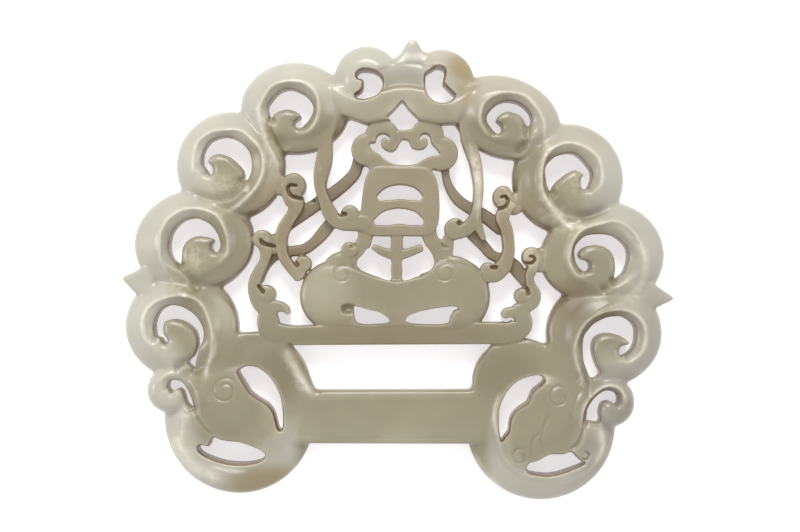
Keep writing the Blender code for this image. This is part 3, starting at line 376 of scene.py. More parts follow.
# pierced scrolls: the hole, the ridge where its outer flare ends, and the valley round the knob
scrolls = {
    "left1": {
        "band": [(-22.9, 27.3), (-23.4, 28.4), (-23.6, 29.3), (-23.3, 30.2), (-22.6, 31.1), (-21.8, 32),
            (-21, 32.5), (-20, 32.8), (-19, 32.7), (-18, 32.3), (-17, 31.8), (-16.2, 31.1), (-15.6, 30.2),
            (-15.3, 29.4), (-15.4, 28.4), (-15.8, 27.6), (-16.3, 26.8), (-16.9, 26.3), (-17.2, 25.9)],
        "knob": [(-17.6, 25.6), (-18.2, 25.7), (-18.7, 26.1), (-18.7, 26.7), (-18.2, 27.2), (-17.7, 27.6),
            (-17.6, 28), (-18.1, 28.4), (-18.9, 28.8), (-20.1, 29), (-21, 28.8), (-21.8, 28.5), (-22.5, 28)],
        "ridge": [(-24.9, 27), (-25, 28.6), (-24.7, 30), (-23.3, 32.5), (-22, 33.5), (-20.5, 33.9),
            (-18.7, 34), (-16.9, 33.6), (-15.6, 32.7), (-14.7, 31.5), (-14.4, 30), (-14.4, 28.7),
            (-14.7, 27.3), (-15.5, 25.8), (-16.4, 25), (-17.8, 24.6)],
        "valley": [(-23, 27.3), (-23.4, 26.2), (-22.9, 24.4), (-22, 23.2), (-21, 22.3), (-20.4, 21.6)]},
    "left2": {
        "band": [(-27.6, 16.2), (-27.1, 16.4), (-26.7, 17.3), (-26.4, 18.4), (-26.4, 19.5), (-26.6, 20.5),
            (-27, 21.5), (-27.8, 22.5), (-28.8, 23.3), (-29.9, 23.9), (-30.9, 24.1), (-31.9, 24.1),
            (-33, 23.8), (-34, 23.3), (-34.6, 22.6), (-35.1, 21.8), (-35.4, 20.9), (-35.5, 20), (-35.4, 19.1),
            (-35.1, 18.6), (-34.7, 18.1), (-34.5, 17.6)],
        "knob": [(-34.1, 17.1), (-33.7, 17.3), (-33.4, 17.8), (-33.4, 18.4), (-33.7, 18.9), (-34.1, 19.3),
            (-34.3, 19.7), (-34, 20.2), (-33.5, 20.6), (-32.8, 20.9), (-31.9, 20.9), (-30.9, 20.6),
            (-30.2, 20.3), (-29.4, 19.6), (-28.7, 18.9), (-28.1, 18.1), (-27.9, 17.2), (-27.9, 16.4)],
        "ridge": [(-36.9, 18), (-36.9, 20), (-36.7, 21.8), (-36, 23.3), (-34.5, 24.5), (-32.9, 25.1),
            (-30.9, 25.3), (-29.1, 25.3), (-27.5, 24.7), (-26, 23.1), (-24.7, 21.5), (-24.2, 19.6),
            (-24.4, 17.8), (-24.9, 16), (-25.8, 14.5), (-26.9, 13.3), (-28.2, 12.2)],
        "valley": [(-28.2, 15.8), (-28.9, 14.4), (-30.2, 13.2), (-32.4, 12.7), (-34.2, 12.8), (-36, 13.5),
            (-37.3, 14.5)]},
    "left3": {
        "band": [(-39.3, 1.1), (-39.9, 1.3), (-40.6, 1.8), (-41.1, 2.5), (-41.4, 3.4), (-41.5, 4.2),
            (-41.4, 5.2), (-41.2, 6.1), (-40.8, 7), (-40.2, 7.8), (-39.5, 8.5), (-38.6, 9), (-37.6, 9.3),
            (-36.5, 9.4), (-35.6, 9.1), (-34.7, 8.7), (-33.8, 8.1), (-33.2, 7.4), (-32.7, 6.6), (-32.4, 5.9),
            (-32.2, 5.2), (-32.1, 4.4), (-32.3, 3.7)],
        "knob": [(-32.7, 3.2), (-33.3, 3.3), (-33.8, 3.8), (-33.9, 4.5), (-33.5, 5.1), (-33.6, 5.6),
            (-34.4, 5.9), (-35.6, 6.1), (-36.7, 6), (-37.6, 5.6), (-38.2, 5.1), (-38.6, 4.5), (-38.9, 3.8),
            (-39, 2.9), (-39.1, 2)],
        "ridge": [(-41.8, 0), (-42.7, 1.5), (-42.9, 3.6), (-42.9, 5.5), (-42.5, 7.3), (-41.5, 9.1),
            (-39.6, 10.5), (-37.5, 11.1), (-35.1, 10.9), (-33.3, 10.2), (-32.2, 9.3), (-31.3, 7.6),
            (-30.7, 5.5), (-30.7, 3.3), (-31.3, 2.2), (-32.4, 1.3)],
        "valley": [(-39.6, 1.1), (-38.7, -0.1), (-37.8, -1.5), (-36.6, -3.2), (-36, -4.2)]},
    "left4": {
        "band": [(-36.9, -17.9), (-36.7, -17.2), (-36.5, -16.2), (-36.2, -15.2), (-36, -14.4), (-35.7, -13.6),
            (-35.3, -12.8), (-35.1, -11.8), (-35.2, -10.8), (-35.6, -9.7), (-36.3, -8.6), (-37.1, -7.8),
            (-38, -7.2), (-38.9, -6.7), (-40, -6.4), (-41.2, -6.4), (-42.1, -6.7), (-42.8, -7.1),
            (-43.4, -7.8), (-43.8, -8.6), (-44.1, -9.5), (-44.2, -10.5), (-44.1, -11.4), (-43.8, -12.1)],
        "knob": [(-43.3, -12.2), (-42.9, -12.4), (-42.6, -13), (-42.2, -13.3), (-41.8, -13.3), (-41.6, -12.9),
            (-41.7, -12.4), (-42, -12), (-42.3, -11.6), (-42.4, -10.8), (-42.3, -9.9), (-42.1, -9.4),
            (-41.6, -9.1), (-40.7, -8.9), (-39.7, -9.1), (-38.8, -9.4), (-38, -9.9), (-37.3, -10.5),
            (-36.7, -11.3), (-36.4, -12.2), (-36.3, -13.1), (-36.4, -14), (-36.7, -14.8), (-37, -15.5),
            (-37.6, -16.1), (-38.1, -16.8), (-37.6, -17.4)],
        "ridge": [(-43.5, -14.4), (-45.5, -12.4), (-46, -10.5), (-46, -9), (-45.2, -7), (-43.5, -5.6),
            (-41.5, -4.9), (-39.1, -4.6), (-36.5, -5.2), (-35.1, -6.6), (-34.2, -8.7), (-33.6, -10.9),
            (-33.5, -13.3), (-33.8, -15.6), (-34.5, -17.6), (-35.3, -19.6)],
        "valley": [(-38.9, -17.1), (-39.6, -17.6), (-40.5, -17.9)]},
    "leftSmall": {
        "band": [(-36.9, -24.9), (-37.1, -24.2), (-37.4, -23.2), (-37.9, -22.1), (-38.5, -21.1), (-39, -20.4),
            (-39.7, -20), (-40.5, -19.9), (-41.1, -20), (-41.6, -20.5), (-41.7, -21.2)],
        "knob": [(-41.4, -21.8), (-41, -22.2), (-40.6, -21.9), (-39.9, -21.5), (-39.3, -21.7), (-38.9, -22.3),
            (-38.6, -23.2), (-38.4, -23.9), (-38, -24.5), (-37.4, -24.9)],
        "ridge": [],
        "valley": [(-37.4, -24.6), (-37, -25.4)]},
    "right1": {
        "band": [(23.5, 26), (23.9, 26.3), (24.2, 26.9), (24.2, 27.5), (23.9, 28.3), (23.3, 29.1),
            (22.5, 29.8), (21.6, 30.3), (20.7, 30.5), (19.7, 30.6), (18.8, 30.4), (17.9, 30), (17, 29.2),
            (16.4, 28.5), (16.1, 27.8), (16, 27.2), (16.2, 26.6), (16.6, 26), (17.1, 25.4), (17.5, 24.9)],
        "knob": [(18, 24.6), (18.5, 24.8), (18.8, 25.3), (18.8, 25.9), (18.5, 26.4), (18, 26.8), (17.8, 27.2),
            (18, 27.6), (18.4, 28), (19.3, 28.5), (20.1, 28.6), (21, 28.3), (21.8, 28), (22.4, 27.5),
            (22.8, 26.8), (23.2, 26.2)],
        "ridge": [(15.8, 25), (14.9, 26.6), (14.9, 28.6), (15.8, 30.4), (17.6, 31.6), (19.5, 32), (21.3, 31.9),
            (23.1, 31.3), (24.4, 30), (25.5, 28.5), (26.2, 26.9), (26.5, 25.1), (26.5, 23.3), (26.4, 21.8)],
        "valley": [(23.5, 25.8), (23.55, 24.7), (23.3, 22.9), (22.1, 21.5), (21.1, 20.5)]},
    "right2": {
        "band": [(27.5, 14.2), (27.1, 14.9), (26.8, 15.8), (26.7, 16.8), (26.6, 17.8), (26.7, 18.6),
            (27.1, 19.3), (27.8, 20), (28.6, 20.6), (29.4, 20.9), (30.3, 21.1), (31.2, 21.2), (32.1, 21),
            (32.9, 20.5), (33.6, 19.8), (34.3, 19), (34.9, 18.1), (35.1, 17.2), (35, 16.3), (34.7, 15.5),
            (34.3, 14.9)],
        "knob": [(33.8, 14.5), (33.4, 14.6), (33, 15.1), (32.9, 15.8), (33, 16.4), (33.2, 16.8), (33.6, 17.2),
            (33, 17.5), (32.4, 17.9), (31.7, 18), (31, 17.7), (30.3, 17.3), (29.5, 16.7), (28.8, 16.1),
            (28.2, 15.3), (27.8, 14.5)],
        "ridge": [(27.3, 11.5), (26.4, 13.3), (25.8, 15.5), (25.8, 17.6), (26.3, 19.6), (27.5, 21.5),
            (29, 22.5), (30.7, 22.9), (32.2, 22.7), (34, 22), (35.5, 20.9), (36.4, 19.5), (36.7, 17.8),
            (36.7, 16.4), (36.4, 15.1), (35.5, 14.2)],
        "valley": [(27.7, 14), (28.5, 12.5), (29.5, 11.2), (30.6, 10.3), (32.2, 9.8), (34, 9.6), (35.8, 10),
            (37.3, 10.7), (38.2, 11.3)]},
    "right3": {
        "band": [(39.1, -1.8), (39.7, -1.4), (40.3, -1), (40.9, -0.4), (41.3, 0.4), (41.6, 1.3), (41.8, 2.3),
            (41.7, 3.3), (41.3, 4.3), (40.6, 5.1), (39.7, 5.8), (38.6, 6.3), (37.4, 6.5), (36, 6.5),
            (34.8, 6.4), (33.6, 6), (32.8, 5.3), (32.2, 4.6), (31.9, 3.7), (31.9, 2.7), (32.1, 1.6),
            (32.5, 0.8), (33.1, 0.1)],
        "knob": [(33.8, -0.3), (34.5, -0.1), (34.8, 0.5), (34.7, 1.2), (34.1, 1.7), (33.3, 1.9), (32.9, 2.3),
            (32.8, 3), (33.2, 3.6), (33.8, 4.1), (34.7, 4.4), (35.7, 4.5), (36.8, 4.3), (37.7, 3.9),
            (38.4, 3.3), (38.9, 2.4), (39.1, 1.5), (39.2, 0.4), (39.1, -0.7)],
        "ridge": [(33.5, -1.5), (32.2, -0.9), (31.3, 0.4), (30.9, 1.8), (31.1, 3.6), (31.8, 5.6), (33.1, 7.2),
            (34.9, 7.9), (36.7, 8.4), (38.5, 8.8), (40.4, 8.5), (42.2, 7.1), (43.4, 5.2), (44.2, 2.7),
            (44.4, 0.9), (44, -1.3), (43.1, -4.5)],
        "valley": [(38.9, -1.8), (38.4, -2.6), (37.6, -3.3), (36.5, -3.9)]},
    "right4": {
        "band": [(35, -19.6), (34.5, -18.8), (34, -17.6), (33.6, -16.5), (33.4, -15), (33.4, -13.5),
            (33.5, -12.5), (33.8, -11.6), (34.5, -10.7), (35.2, -9.9), (36.1, -9.3), (37.1, -8.8),
            (38.1, -8.5), (39.3, -8.4), (40.4, -8.4), (41.3, -8.8), (42.1, -9.3), (42.8, -10.1), (43.1, -11.1),
            (43.1, -12.3), (42.9, -13.4), (42.5, -14.2), (41.9, -14.9), (41.2, -15.4)],
        "knob": [(40.4, -15.5), (40, -15.2), (39.9, -14.5), (40.2, -13.9), (40.8, -13.6), (41.4, -13.5),
            (41.8, -13.2), (41.4, -12.8), (40.8, -12.3), (40.1, -11.9), (39.2, -11.6), (38.1, -11.5),
            (37.1, -11.6), (36.2, -12), (35.6, -12.6), (35.3, -13.4), (35.2, -14.4), (35.4, -15.5),
            (35.7, -16.6), (36.1, -17.6), (36.6, -18.5), (36.4, -19.2), (35.7, -19.6)],
        "ridge": [(33.8, -20.7), (33.2, -19.4), (32.7, -17.8), (32, -16), (31.8, -14.5), (32.2, -12.7),
            (33.2, -10.4), (34.7, -8.8), (36.6, -7.7), (38.8, -7.2), (41, -7.3), (43, -8.2), (44.2, -9.6),
            (44.7, -11.2), (44.7, -12.9), (44.2, -14.5), (43.2, -15.8), (41.8, -16.6), (40.2, -16.5)],
        "valley": []},
    "rightSmall": {
        "band": [(34.1, -27.3), (34.2, -26.2), (34.3, -25.2), (34.8, -24.3), (35.4, -23.4), (36.1, -22.7),
            (36.9, -22.1), (37.9, -21.8), (38.8, -22), (39.5, -22.4), (39.9, -23.1), (39.9, -23.9)],
        "knob": [(39.7, -24.5), (39, -24.1), (38.3, -23.8), (37.5, -23.9), (36.9, -24.4), (36.6, -25.2),
            (36.5, -26.1), (36.6, -27), (36.4, -27.6), (35.6, -27.6), (34.8, -27.5)],
        "ridge": [(33.2, -27.6), (33.4, -25.6), (34.2, -23.8), (35.5, -22.3), (37, -21.2), (38.6, -20.9),
            (40, -21.5), (40.8, -22.8), (40.7, -24.2)],
        "valley": []},
}

# other openings, cut right through with a slight flare
openings = {
    "shoulder": 4.6, "slope": 0.25, "roundEnds": 0.8,
    "flareLevels": ((0.0, 4.5), (0.35, 5.2), (0.7, 5.9), (1.1, 6.9)),      # share of the flare, height
    "paths": {
        "bellHigh": [(-3.2, 13.2, 0.7), (-1.8, 13.8, 1.2), (0.4, 14.2, 1.3), (2.6, 13.8, 1.2), (3.9, 13.2, 0.7)],
        "bellLow": [(-3.8, 8.8, 0.7), (-2.2, 9.4, 1.3), (0.2, 9.8, 1.4), (2.6, 9.4, 1.3), (4.1, 8.8, 0.7)]},
    "rounds": {
        "topLeft": (0.5, [(-7.4, 35.3), (-6.9, 35.9), (-6.1, 36.1), (-5, 36), (-3.9, 35.6), (-3.1, 34.9),
            (-2.8, 34), (-2.9, 33.2), (-3.3, 32.3), (-3.9, 31.7), (-5, 31.3), (-6.2, 31), (-7.2, 31.1),
            (-7.7, 31.6), (-7, 32), (-6.4, 32.6), (-6.2, 33.4), (-6.2, 34.2), (-6.6, 34.6), (-7.2, 34.7)]),
        "topRight": (0.5, [(5, 34.6), (5.1, 35.4), (5.6, 35.8), (6.1, 36.1), (6.7, 36.5), (7.4, 36.6),
            (8.2, 36.3), (8.4, 35.6), (8.2, 34.7), (8.1, 33.7), (8.7, 33), (9.5, 32.2), (10.2, 31.5),
            (9.9, 31), (9.2, 30.5), (8.2, 30.3), (7.2, 30.4), (6.2, 30.9), (5.4, 31.8), (5, 33)]),
        "ogee": (0.2, [(0.8, 30.5), (1.6, 29.5), (2.4, 28.6), (3.7, 27.3), (3.7, 26.9), (3, 26.3), (2.6, 25.6),
            (1.8, 25.6), (1.2, 25.7), (0.4, 25.6), (0, 26.1), (-0.4, 26.7), (-1.2, 27.2), (-2, 27.7),
            (-1.4, 28.3), (-0.6, 29.1), (0.2, 30)]),
        "ruyi": (0.1, [(-5.2, 22.7), (-5, 23.1), (-4.1, 23.2), (-3.9, 24.1), (-3.2, 24.7), (-2.3, 24.7),
            (-1.6, 24.2), (-1.4, 23.5), (-1.8, 23.4), (-2.1, 23.9), (-2.7, 23.9), (-3.1, 23.2), (-2.9, 22.4),
            (-2.2, 21.8), (-1.3, 21.5), (-0.6, 21.7), (-0.1, 22.3), (0.3, 23.1), (0.8, 23.7), (1.9, 23.5),
            (2.2, 22.8), (2.6, 22.2), (3.3, 21.9), (4.2, 21.9), (4.9, 22.2), (5.4, 22.9), (5.3, 23.6),
            (4.9, 24), (4.4, 23.8), (4.3, 23.4), (3.9, 23.6), (4.1, 24.4), (4.8, 24.8), (5.5, 24.6), (5.9, 24),
            (6.1, 23), (7, 22), (7.6, 21.2), (7.4, 20.8), (5.9, 20.6), (4.6, 20), (3.2, 19.2), (1.5, 19),
            (-0.3, 19.1), (-1.5, 19.5), (-2.6, 20.2), (-3.4, 21), (-4.5, 21.6)]),
        "leftRingSide": (0.4, [(-28.9, -18.4), (-28.1, -17.7), (-26.9, -17.4), (-25.2, -17.8), (-23.5, -19.1),
            (-22.1, -21.1), (-21.2, -23.4), (-20.9, -25.6), (-20.8, -27.6), (-21, -28.8), (-21.6, -28.7),
            (-22, -27.2), (-22.5, -25.6), (-23.5, -24.3), (-25, -23.3), (-26.5, -22.2), (-27.5, -20.8),
            (-28.3, -19.5)]),
        "leftRingLow": (0.4, [(-36.2, -32.4), (-35.8, -31.7), (-35, -31.8), (-34.2, -31.9), (-33.8, -31),
            (-33.3, -30.3), (-32.3, -30.7), (-30.8, -31), (-28.8, -31.2), (-26.6, -31.9), (-25, -32.6),
            (-24.1, -33.5), (-25, -34.5), (-27.5, -35), (-30.5, -34.9), (-33, -34.3), (-35.2, -33.4)]),
        "rightRingSide": (0.3, [(18.7, -30.9), (18.5, -30.1), (18.3, -28.6), (18.3, -27.1), (18.3, -25.7),
            (18.6, -24.5), (19.1, -23.3), (19.7, -22.2), (20.5, -21.2), (21.5, -20.3), (22.4, -19.8),
            (23.5, -19.4), (24.7, -19.1), (25.6, -19.1), (26.3, -19.5), (26.4, -20.1), (25.8, -20.7),
            (25, -21.3), (24.3, -22), (23.9, -22.9), (23.5, -23.8), (22.9, -24.3), (22, -24.9), (21.1, -25.7),
            (20.5, -26.6), (20.2, -27.7), (20.1, -28.8), (19.9, -29.4), (19.4, -30), (19, -30.6)]),
        "postLeft": (0, [(-5.3, 4), (-6.4, 2.9), (-7.4, 1.8), (-7.3, 0.5), (-5, -0.5), (-2.8, -1.6),
            (-1.3, -1.8), (-1.3, 0.2), (-1.3, 1.8), (-2.8, 2.3)]),
        "postRight": (0, [(0.8, -1.8), (2.2, -1.7), (4, -0.8), (6, 0.1), (6.6, 1.7), (5, 3.4), (2.4, 2.2),
            (0.8, 1.8), (0.8, 0)]),
        "pairLeft": (0.1, [(-8, -6.6), (-7, -6.7), (-6, -7), (-4.8, -7.3), (-3.5, -7.6), (-2.6, -8.1),
            (-1.8, -8.7), (-1.5, -9.3), (-2.2, -9.7), (-3.5, -9.8), (-5.2, -9.9), (-6.8, -9.8), (-7.6, -9.4),
            (-7.9, -8.7), (-8, -7.8)]),
        "pairRight": (0.1, [(1.4, -9.4), (1.5, -8.8), (2.1, -8.2), (4, -7.5), (5.5, -7.2), (7, -6.9),
            (9.5, -6.6), (10.7, -6.7), (11, -7.1), (10.2, -7.4), (9.8, -8), (9.4, -8.8), (9.2, -9.6),
            (7.6, -9.9), (6, -9.9), (3, -9.8)]),
        "rightRingLow": (0.4, [(23.3, -36), (23.8, -35), (25.2, -34.6), (26.4, -34), (27.6, -33.4),
            (29.8, -33.4), (31.3, -33), (32.3, -33.9), (33.2, -34.6), (33.9, -34.8), (33.3, -35.3),
            (31.8, -35.9), (29.5, -36.7), (27.3, -37.1), (25, -36.9), (23.8, -36.6)])},
}


def slotCut(name, group, points):
    clear, through, low = carving["clear"], carving["through"], openings["shoulder"]

    def section(half):
        wide = half + openings["slope"] * (clear - low)
        return [(wide, clear), (half, low), (half, through), (-half, through), (-half, low), (-wide, clear)]
    sweep(name, group, points, section, openings["roundEnds"])


def roundCut(name, group, flare, corners):
    # a compact hole: one smooth outline, extruded straight and then flared
    line = softLine(corners, closed=True, fine=5)
    run = np.roll(line, -2, axis=0) - np.roll(line, 2, axis=0)
    outward = np.column_stack([run[:, 1], -run[:, 0]]) / np.maximum(np.hypot(*run.T), 1e-6)[:, None]
    twice = (line[:, 0] * np.roll(line[:, 1], -1) - line[:, 1] * np.roll(line[:, 0], -1)).sum()
    outward *= 1.0 if twice > 0 else -1.0
    levels = openings["flareLevels"] if flare else ((0.0, carving["clear"]),)
    work = bmesh.new()
    face = start = work.faces.new([work.verts.new((x, y, carving["through"])) for x, y in line])
    for part, z in levels:
        wide = line + outward * flare * part
        face = grownFace(work, face, [(x, y, z) for x, y in wide], closing=face is not start)
    addForm(work, name, group)


def cutForms(group):
    for name, lobe in scrolls.items():
        roundCut("scroll" + name, group, 0.0, lobe["band"] + lobe["knob"])
    for name, points in openings["paths"].items():
        slotCut("opening" + name, group, points)
    for name, (flare, corners) in openings["rounds"].items():
        roundCut("opening" + name, group, flare, corners)
    block("flatBack", group, carving["backBlock"])


def applied(form, name):
    # the form as its modifiers leave it, as a mesh of its own
    bpy.context.view_layer.update()
    ready = form.evaluated_get(bpy.context.evaluated_depsgraph_get())
    mesh = bpy.data.meshes.new_from_object(ready)
    mesh.name = name
    return mesh


def joined(form, name, kind, group):
    step = form.modifiers.new(name, "BOOLEAN")
    step.operation = kind
    step.operand_type = "COLLECTION"
    step.collection = group
    step.solver = "MANIFOLD"


def remeshed(form, voxel):
    step = form.modifiers.new("remesh", "REMESH")
    step.mode = "VOXEL"
    step.voxel_size = voxel


def smoothed(form, name, turns):
    step = form.modifiers.new(name, "SMOOTH")
    step.factor = carving["smoothing"]
    step.iterations = turns
    return step


print("carving the forms")
everything = bpy.context.scene.collection
flowingGroup = bpy.data.collections.new("flowingForms")
raisedGroup = bpy.data.collections.new("raisedForms")
cutterGroup = bpy.data.collections.new("cutterForms")
helperGroups = (flowingGroup, raisedGroup, cutterGroup)
for group in helperGroups:
    everything.children.link(group)
raiseForms(flowingGroup, raisedGroup)
cutForms(cutterGroup)

core = block("barCore", everything, carving["core"])
joined(core, "join", "UNION", flowingGroup)
remeshed(core, carving["blendVoxel"])
ease = smoothed(core, "ease", carving["blendTurns"])
ease.use_x = ease.use_y = False     # only the height eases, so the outline stays sharp
border = bpy.data.objects.new("border", applied(core, "border"))
everything.objects.link(border)
joined(border, "join", "UNION", raisedGroup)
joined(border, "pierce", "DIFFERENCE", cutterGroup)
remeshed(border, carving["voxel"])
smoothed(border, "soften", carving["softTurns"])
carved = applied(border, "jadeCarving")
for form in [core, border] + [form for group in helperGroups for form in group.objects]:
    bpy.data.objects.remove(form, do_unlink=True)
for group in helperGroups:
    bpy.data.collections.remove(group)
print("  dense faces", len(carved.polygons))

print("cutting the fine relief")
# how relief fades: how many widths it reaches, how fast it ends, and its share left at the ends
fading = {"widths": 2.6, "ending": 5, "ends": (0.3, 0.3), "slopeReach": 3.0, "slopeBack": 0.35,
          "grooveReach": 2.0, "grooveLow": 0.1}


def nearBox(places, line, reach):
    low, high = line[:, :2].min(axis=0) - reach, line[:, :2].max(axis=0) + reach
    return np.where((places[:, :2] > low).all(axis=1) & (places[:, :2] < high).all(axis=1))[0]


def lineReach(spots, line):
    # distance of each spot to a line, how far along it lies, and whether it is on the left
    best = np.full(len(spots), 1e9)
    along = np.zeros(len(spots))
    left = np.zeros(len(spots), dtype=bool)
    for i, (a, b) in enumerate(zip(line, line[1:])):
        run = b - a
        gap = spots - a
        t = np.clip((gap @ run) / max(run @ run, 1e-9), 0.0, 1.0)
        away = np.hypot(*(gap - t[:, None] * run).T)
        closer = away < best
        best[closer] = away[closer]
        along[closer] = (i + t[closer]) / (len(line) - 1)
        left[closer] = (run[0] * gap[:, 1] - run[1] * gap[:, 0])[closer] > 0
    return best, along, left


# each line: how it stands (minus cuts in), its width on its left and its right, and its points
relief = {
    "bridgeValley": (-1.5, 2.4, 0.6, [(-3.2, 32.7), (-1.5, 33.4), (0.3, 33.7), (2.2, 33.7), (4, 33.4), (5, 33)]),
    "bridgeCrest": (0.35, 0.4, 1.6, [(-13, 33.4), (-11.5, 32.4), (-9.5, 31.3), (-8, 30.7), (-6, 30.4),
        (-4.2, 31), (-2.8, 32), (-1, 32.5), (2, 32.7), (4.5, 32.3), (5.4, 31.1), (7, 30.1), (9, 29.9),
        (11, 30.5), (13, 31.8)]),
    "bridgeTop": (0.35, 1.2, 0.4, [(-4.4, 36.1), (-2.6, 36.9), (-0.6, 37.5), (1.8, 37.8), (4, 37.7),
        (6.2, 37.3), (8.2, 36.9)]),
    "leftS": (0.3, 0.8, 0.6, [(-25.4, 24.2), (-24.9, 22.4), (-24.3, 20.5), (-24.2, 18), (-24.9, 16),
        (-25.8, 14.5), (-26.9, 13.3), (-28.2, 12.2), (-29.3, 11.3), (-30.5, 10.5), (-32.2, 10.2), (-34, 10.7)]),
    "leftSLow": (0.4, 0.6, 1.4, [(-42.4, 0.6), (-41.5, -1.2), (-40.5, -2.6), (-39.1, -3.8), (-37, -4.9)]),
    "leftFlare": (0.35, 0.45, 1.2, [(-25.2, 28.4), (-24.8, 26.2), (-24.1, 24.1), (-22.9, 21.9), (-21.9, 20),
        (-20.9, 18)]),
    "rightS": (0.5, 0.6, 2.2, [(26.5, 22.6), (26.2, 20), (25.9, 17.6), (25.8, 15.5), (26.4, 13.3),
        (27.3, 11.5), (28.5, 9.6), (29.8, 8.4), (31.2, 7.7), (33.1, 7.5), (34.9, 7.9)]),
    "rightSLow": (0.4, 1.4, 0.6, [(43.4, -3), (42.2, -4.8), (40, -6), (37.4, -7.2), (35.2, -8.4)]),
    "leftBack": (0.25, 0.6, 1.2, [(-33.8, -15), (-34.6, -18), (-35, -20.5), (-34.6, -22.8), (-33.6, -24.2)]),
    "leftOuterBand": (0.25, 0.9, 1.2, [(-42, -17.6), (-39.5, -17.9), (-37.8, -19.4), (-36.8, -22),
        (-36.4, -25.2), (-35.2, -28), (-33.7, -29.7)]),
    "leftRingCrest": (0.5, 0.5, 1.2, [(-27.2, -36.2), (-30.7, -36.5), (-34, -36), (-36.8, -34.6), (-38.8, -32),
        (-39.3, -29)]),
    "rightBack": (0.35, 0.7, 0.5, [(32.6, -17.6), (33.4, -20), (32.9, -22.2), (31.6, -24.4), (31.5, -27)]),
    "rightRingLow": (0.4, 1.2, 0.5, [(27.5, -38.6), (31, -37.8), (34.6, -35.8), (36.6, -32.5), (37, -29)]),
    "leftRingLine": (-0.3, 0.3, 0.3, [(-36.7, -25.1), (-36.2, -26.5), (-35.1, -28.2), (-33.6, -29.6)]),
    "rightBodyLine": (-0.45, 0.4, 0.4, [(31.3, -32.4), (32.7, -30.9), (33.6, -28.2), (34, -25.5)]),
    "rightBodyCrease": (-0.35, 0.4, 0.4, [(33.6, -20.9), (32.5, -22.7), (31.6, -24.5), (31.1, -27.3)]),
    "rightFace": (-0.16, 0.2, 0.2, [(27.1, -26.2), (26.3, -27.8), (25.8, -29.8), (25.75, -31.4), (26.4, -33.5)]),
    "rightFaceLong": (-0.14, 0.2, 0.2, [(25.4, -29.3), (24.6, -30.2), (24.1, -31.3), (23.8, -33.2)]),
    "rightRingHook": (-0.5, 0.25, 0.25, [(33, -34), (34, -34.3), (34.5, -33.4), (33.9, -32.8)]),
    "leftFootCurl": (-0.5, 0.25, 0.25, [(-7.6, 4.9), (-8.1, 4.4), (-8.7, 4.2)]),
    "rightFootCurl": (-0.5, 0.25, 0.25, [(7.8, 4.8), (8.3, 4.3), (8.9, 4.1)]),
    "leftFold": (0.22, 0.35, 0.6, [(-13.9, 18.5), (-13.9, 17), (-13.2, 14), (-12.5, 12.4)]),
    "rightFold": (0.22, 0.4, 0.4, [(13.5, 20), (14, 18), (14.4, 16), (14.5, 14)]),
    "rightRingCrest": (0.25, 0.45, 0.45, [(18.4, -22.6), (17.9, -25), (17.7, -28), (18.3, -31.5),
        (19.5, -34.6), (22.5, -37), (27.5, -38)]),
}


def lineRelief(places, line, height, leftWide, rightWide, ends=fading["ends"]):
    lift = np.zeros(len(places))
    near = nearBox(places, line, fading["widths"] * max(leftWide, rightWide))
    away, along, left = lineReach(places[near, :2], line)
    wide = np.where(left, leftWide, rightWide)
    share = np.minimum(1.0, ends[0] + fading["ending"] * along)
    share *= np.minimum(1.0, ends[1] + fading["ending"] * (1 - along))
    lift[near] = height * share * np.exp(-(away / wide) ** 2)
    return lift


# slopes falling away on the right of a line: depth, width, how far they reach, points
slopes = {
    "leftJamb": (1.1, 1.4, 2.3, [(-14.8, -23.2), (-15.7, -22.2), (-16.8, -20.9), (-17.7, -19.6),
        (-18.6, -18.3), (-19.4, -17), (-20.1, -15.9), (-20.7, -14.9), (-21.2, -14)]),
    "leftFlare": (0.9, 1.4, 1.9, [(-20.9, 18), (-21.9, 20), (-22.9, 21.9), (-24.1, 24.1), (-24.8, 26.2)]),
}


def slopeRelief(places, line, depth, wide, stop):
    lift = np.zeros(len(places))
    near = nearBox(places, line, fading["slopeReach"])
    away, along, left = lineReach(places[near, :2], line)
    beside = (~left) & (along > 0.0) & (along < 1.0)
    ends = np.clip(fading["ending"] * along, 0, 1) * np.clip(fading["ending"] * (1 - along), 0, 1)
    back = np.clip((stop - away) / (fading["slopeBack"] * wide), 0, 1)
    lift[near] = -depth * beside * np.clip(away / wide, 0, 1) * ends * back
    return lift


# carved eyes and slits of the hooks, which stop well above the back
eyes = {
    "depth": -1.4,
    "paths": {
        "leftHanging": [(-10.3, 10.15, 0.4), (-9.5, 10.1, 0.3)],
        "leftInner": [(-18.4, 15.3, 0.22), (-19.5, 15.35, 0.26), (-19.9, 14.6, 0.28), (-19.3, 13.5, 0.28),
            (-17.8, 13, 0.27), (-15.2, 12.6, 0.25)],
        "leftTail": [(-18.7, 1.5, 0.3), (-18.2, 0.9, 0.36)],
        "leftOuter": [(-24.8, 5.5, 0.25), (-24.4, 4.9, 0.34), (-22.4, 4.3, 0.25)],
        "leftFoot": [(-25.2, -2.9, 0.25), (-24.4, -3.9, 0.34)],
        "rightHanging": [(11.1, 8.5, 0.4), (11.9, 9, 0.3)],
        "rightInner": [(18.7, 13.2, 0.22), (19.4, 13.3, 0.25), (19.9, 12.5, 0.26), (19.4, 11.5, 0.27),
            (18.2, 11.1, 0.27), (16.3, 10.9, 0.25)],
        "rightTail": [(17, 0.5, 0.3), (17.7, 0.5, 0.34)],
        "rightOuter": [(23.9, 2.5, 0.2), (24.5, 2.4, 0.22), (24.7, 1.8, 0.24), (24.1, 1.3, 0.23),
            (23, 1.3, 0.22)],
        "rightFoot": [(23.4, -3.4, 0.25), (23.5, -4.2, 0.34)],
        "rightCurl": [(18.2, -9.2, 0.3), (19.6, -9.1, 0.3), (20.6, -8.9, 0.25)],
        "pairPit": [(-9.5, -7, 0.7), (-9, -7, 0.8), (-8.4, -7, 0.7)]},
}


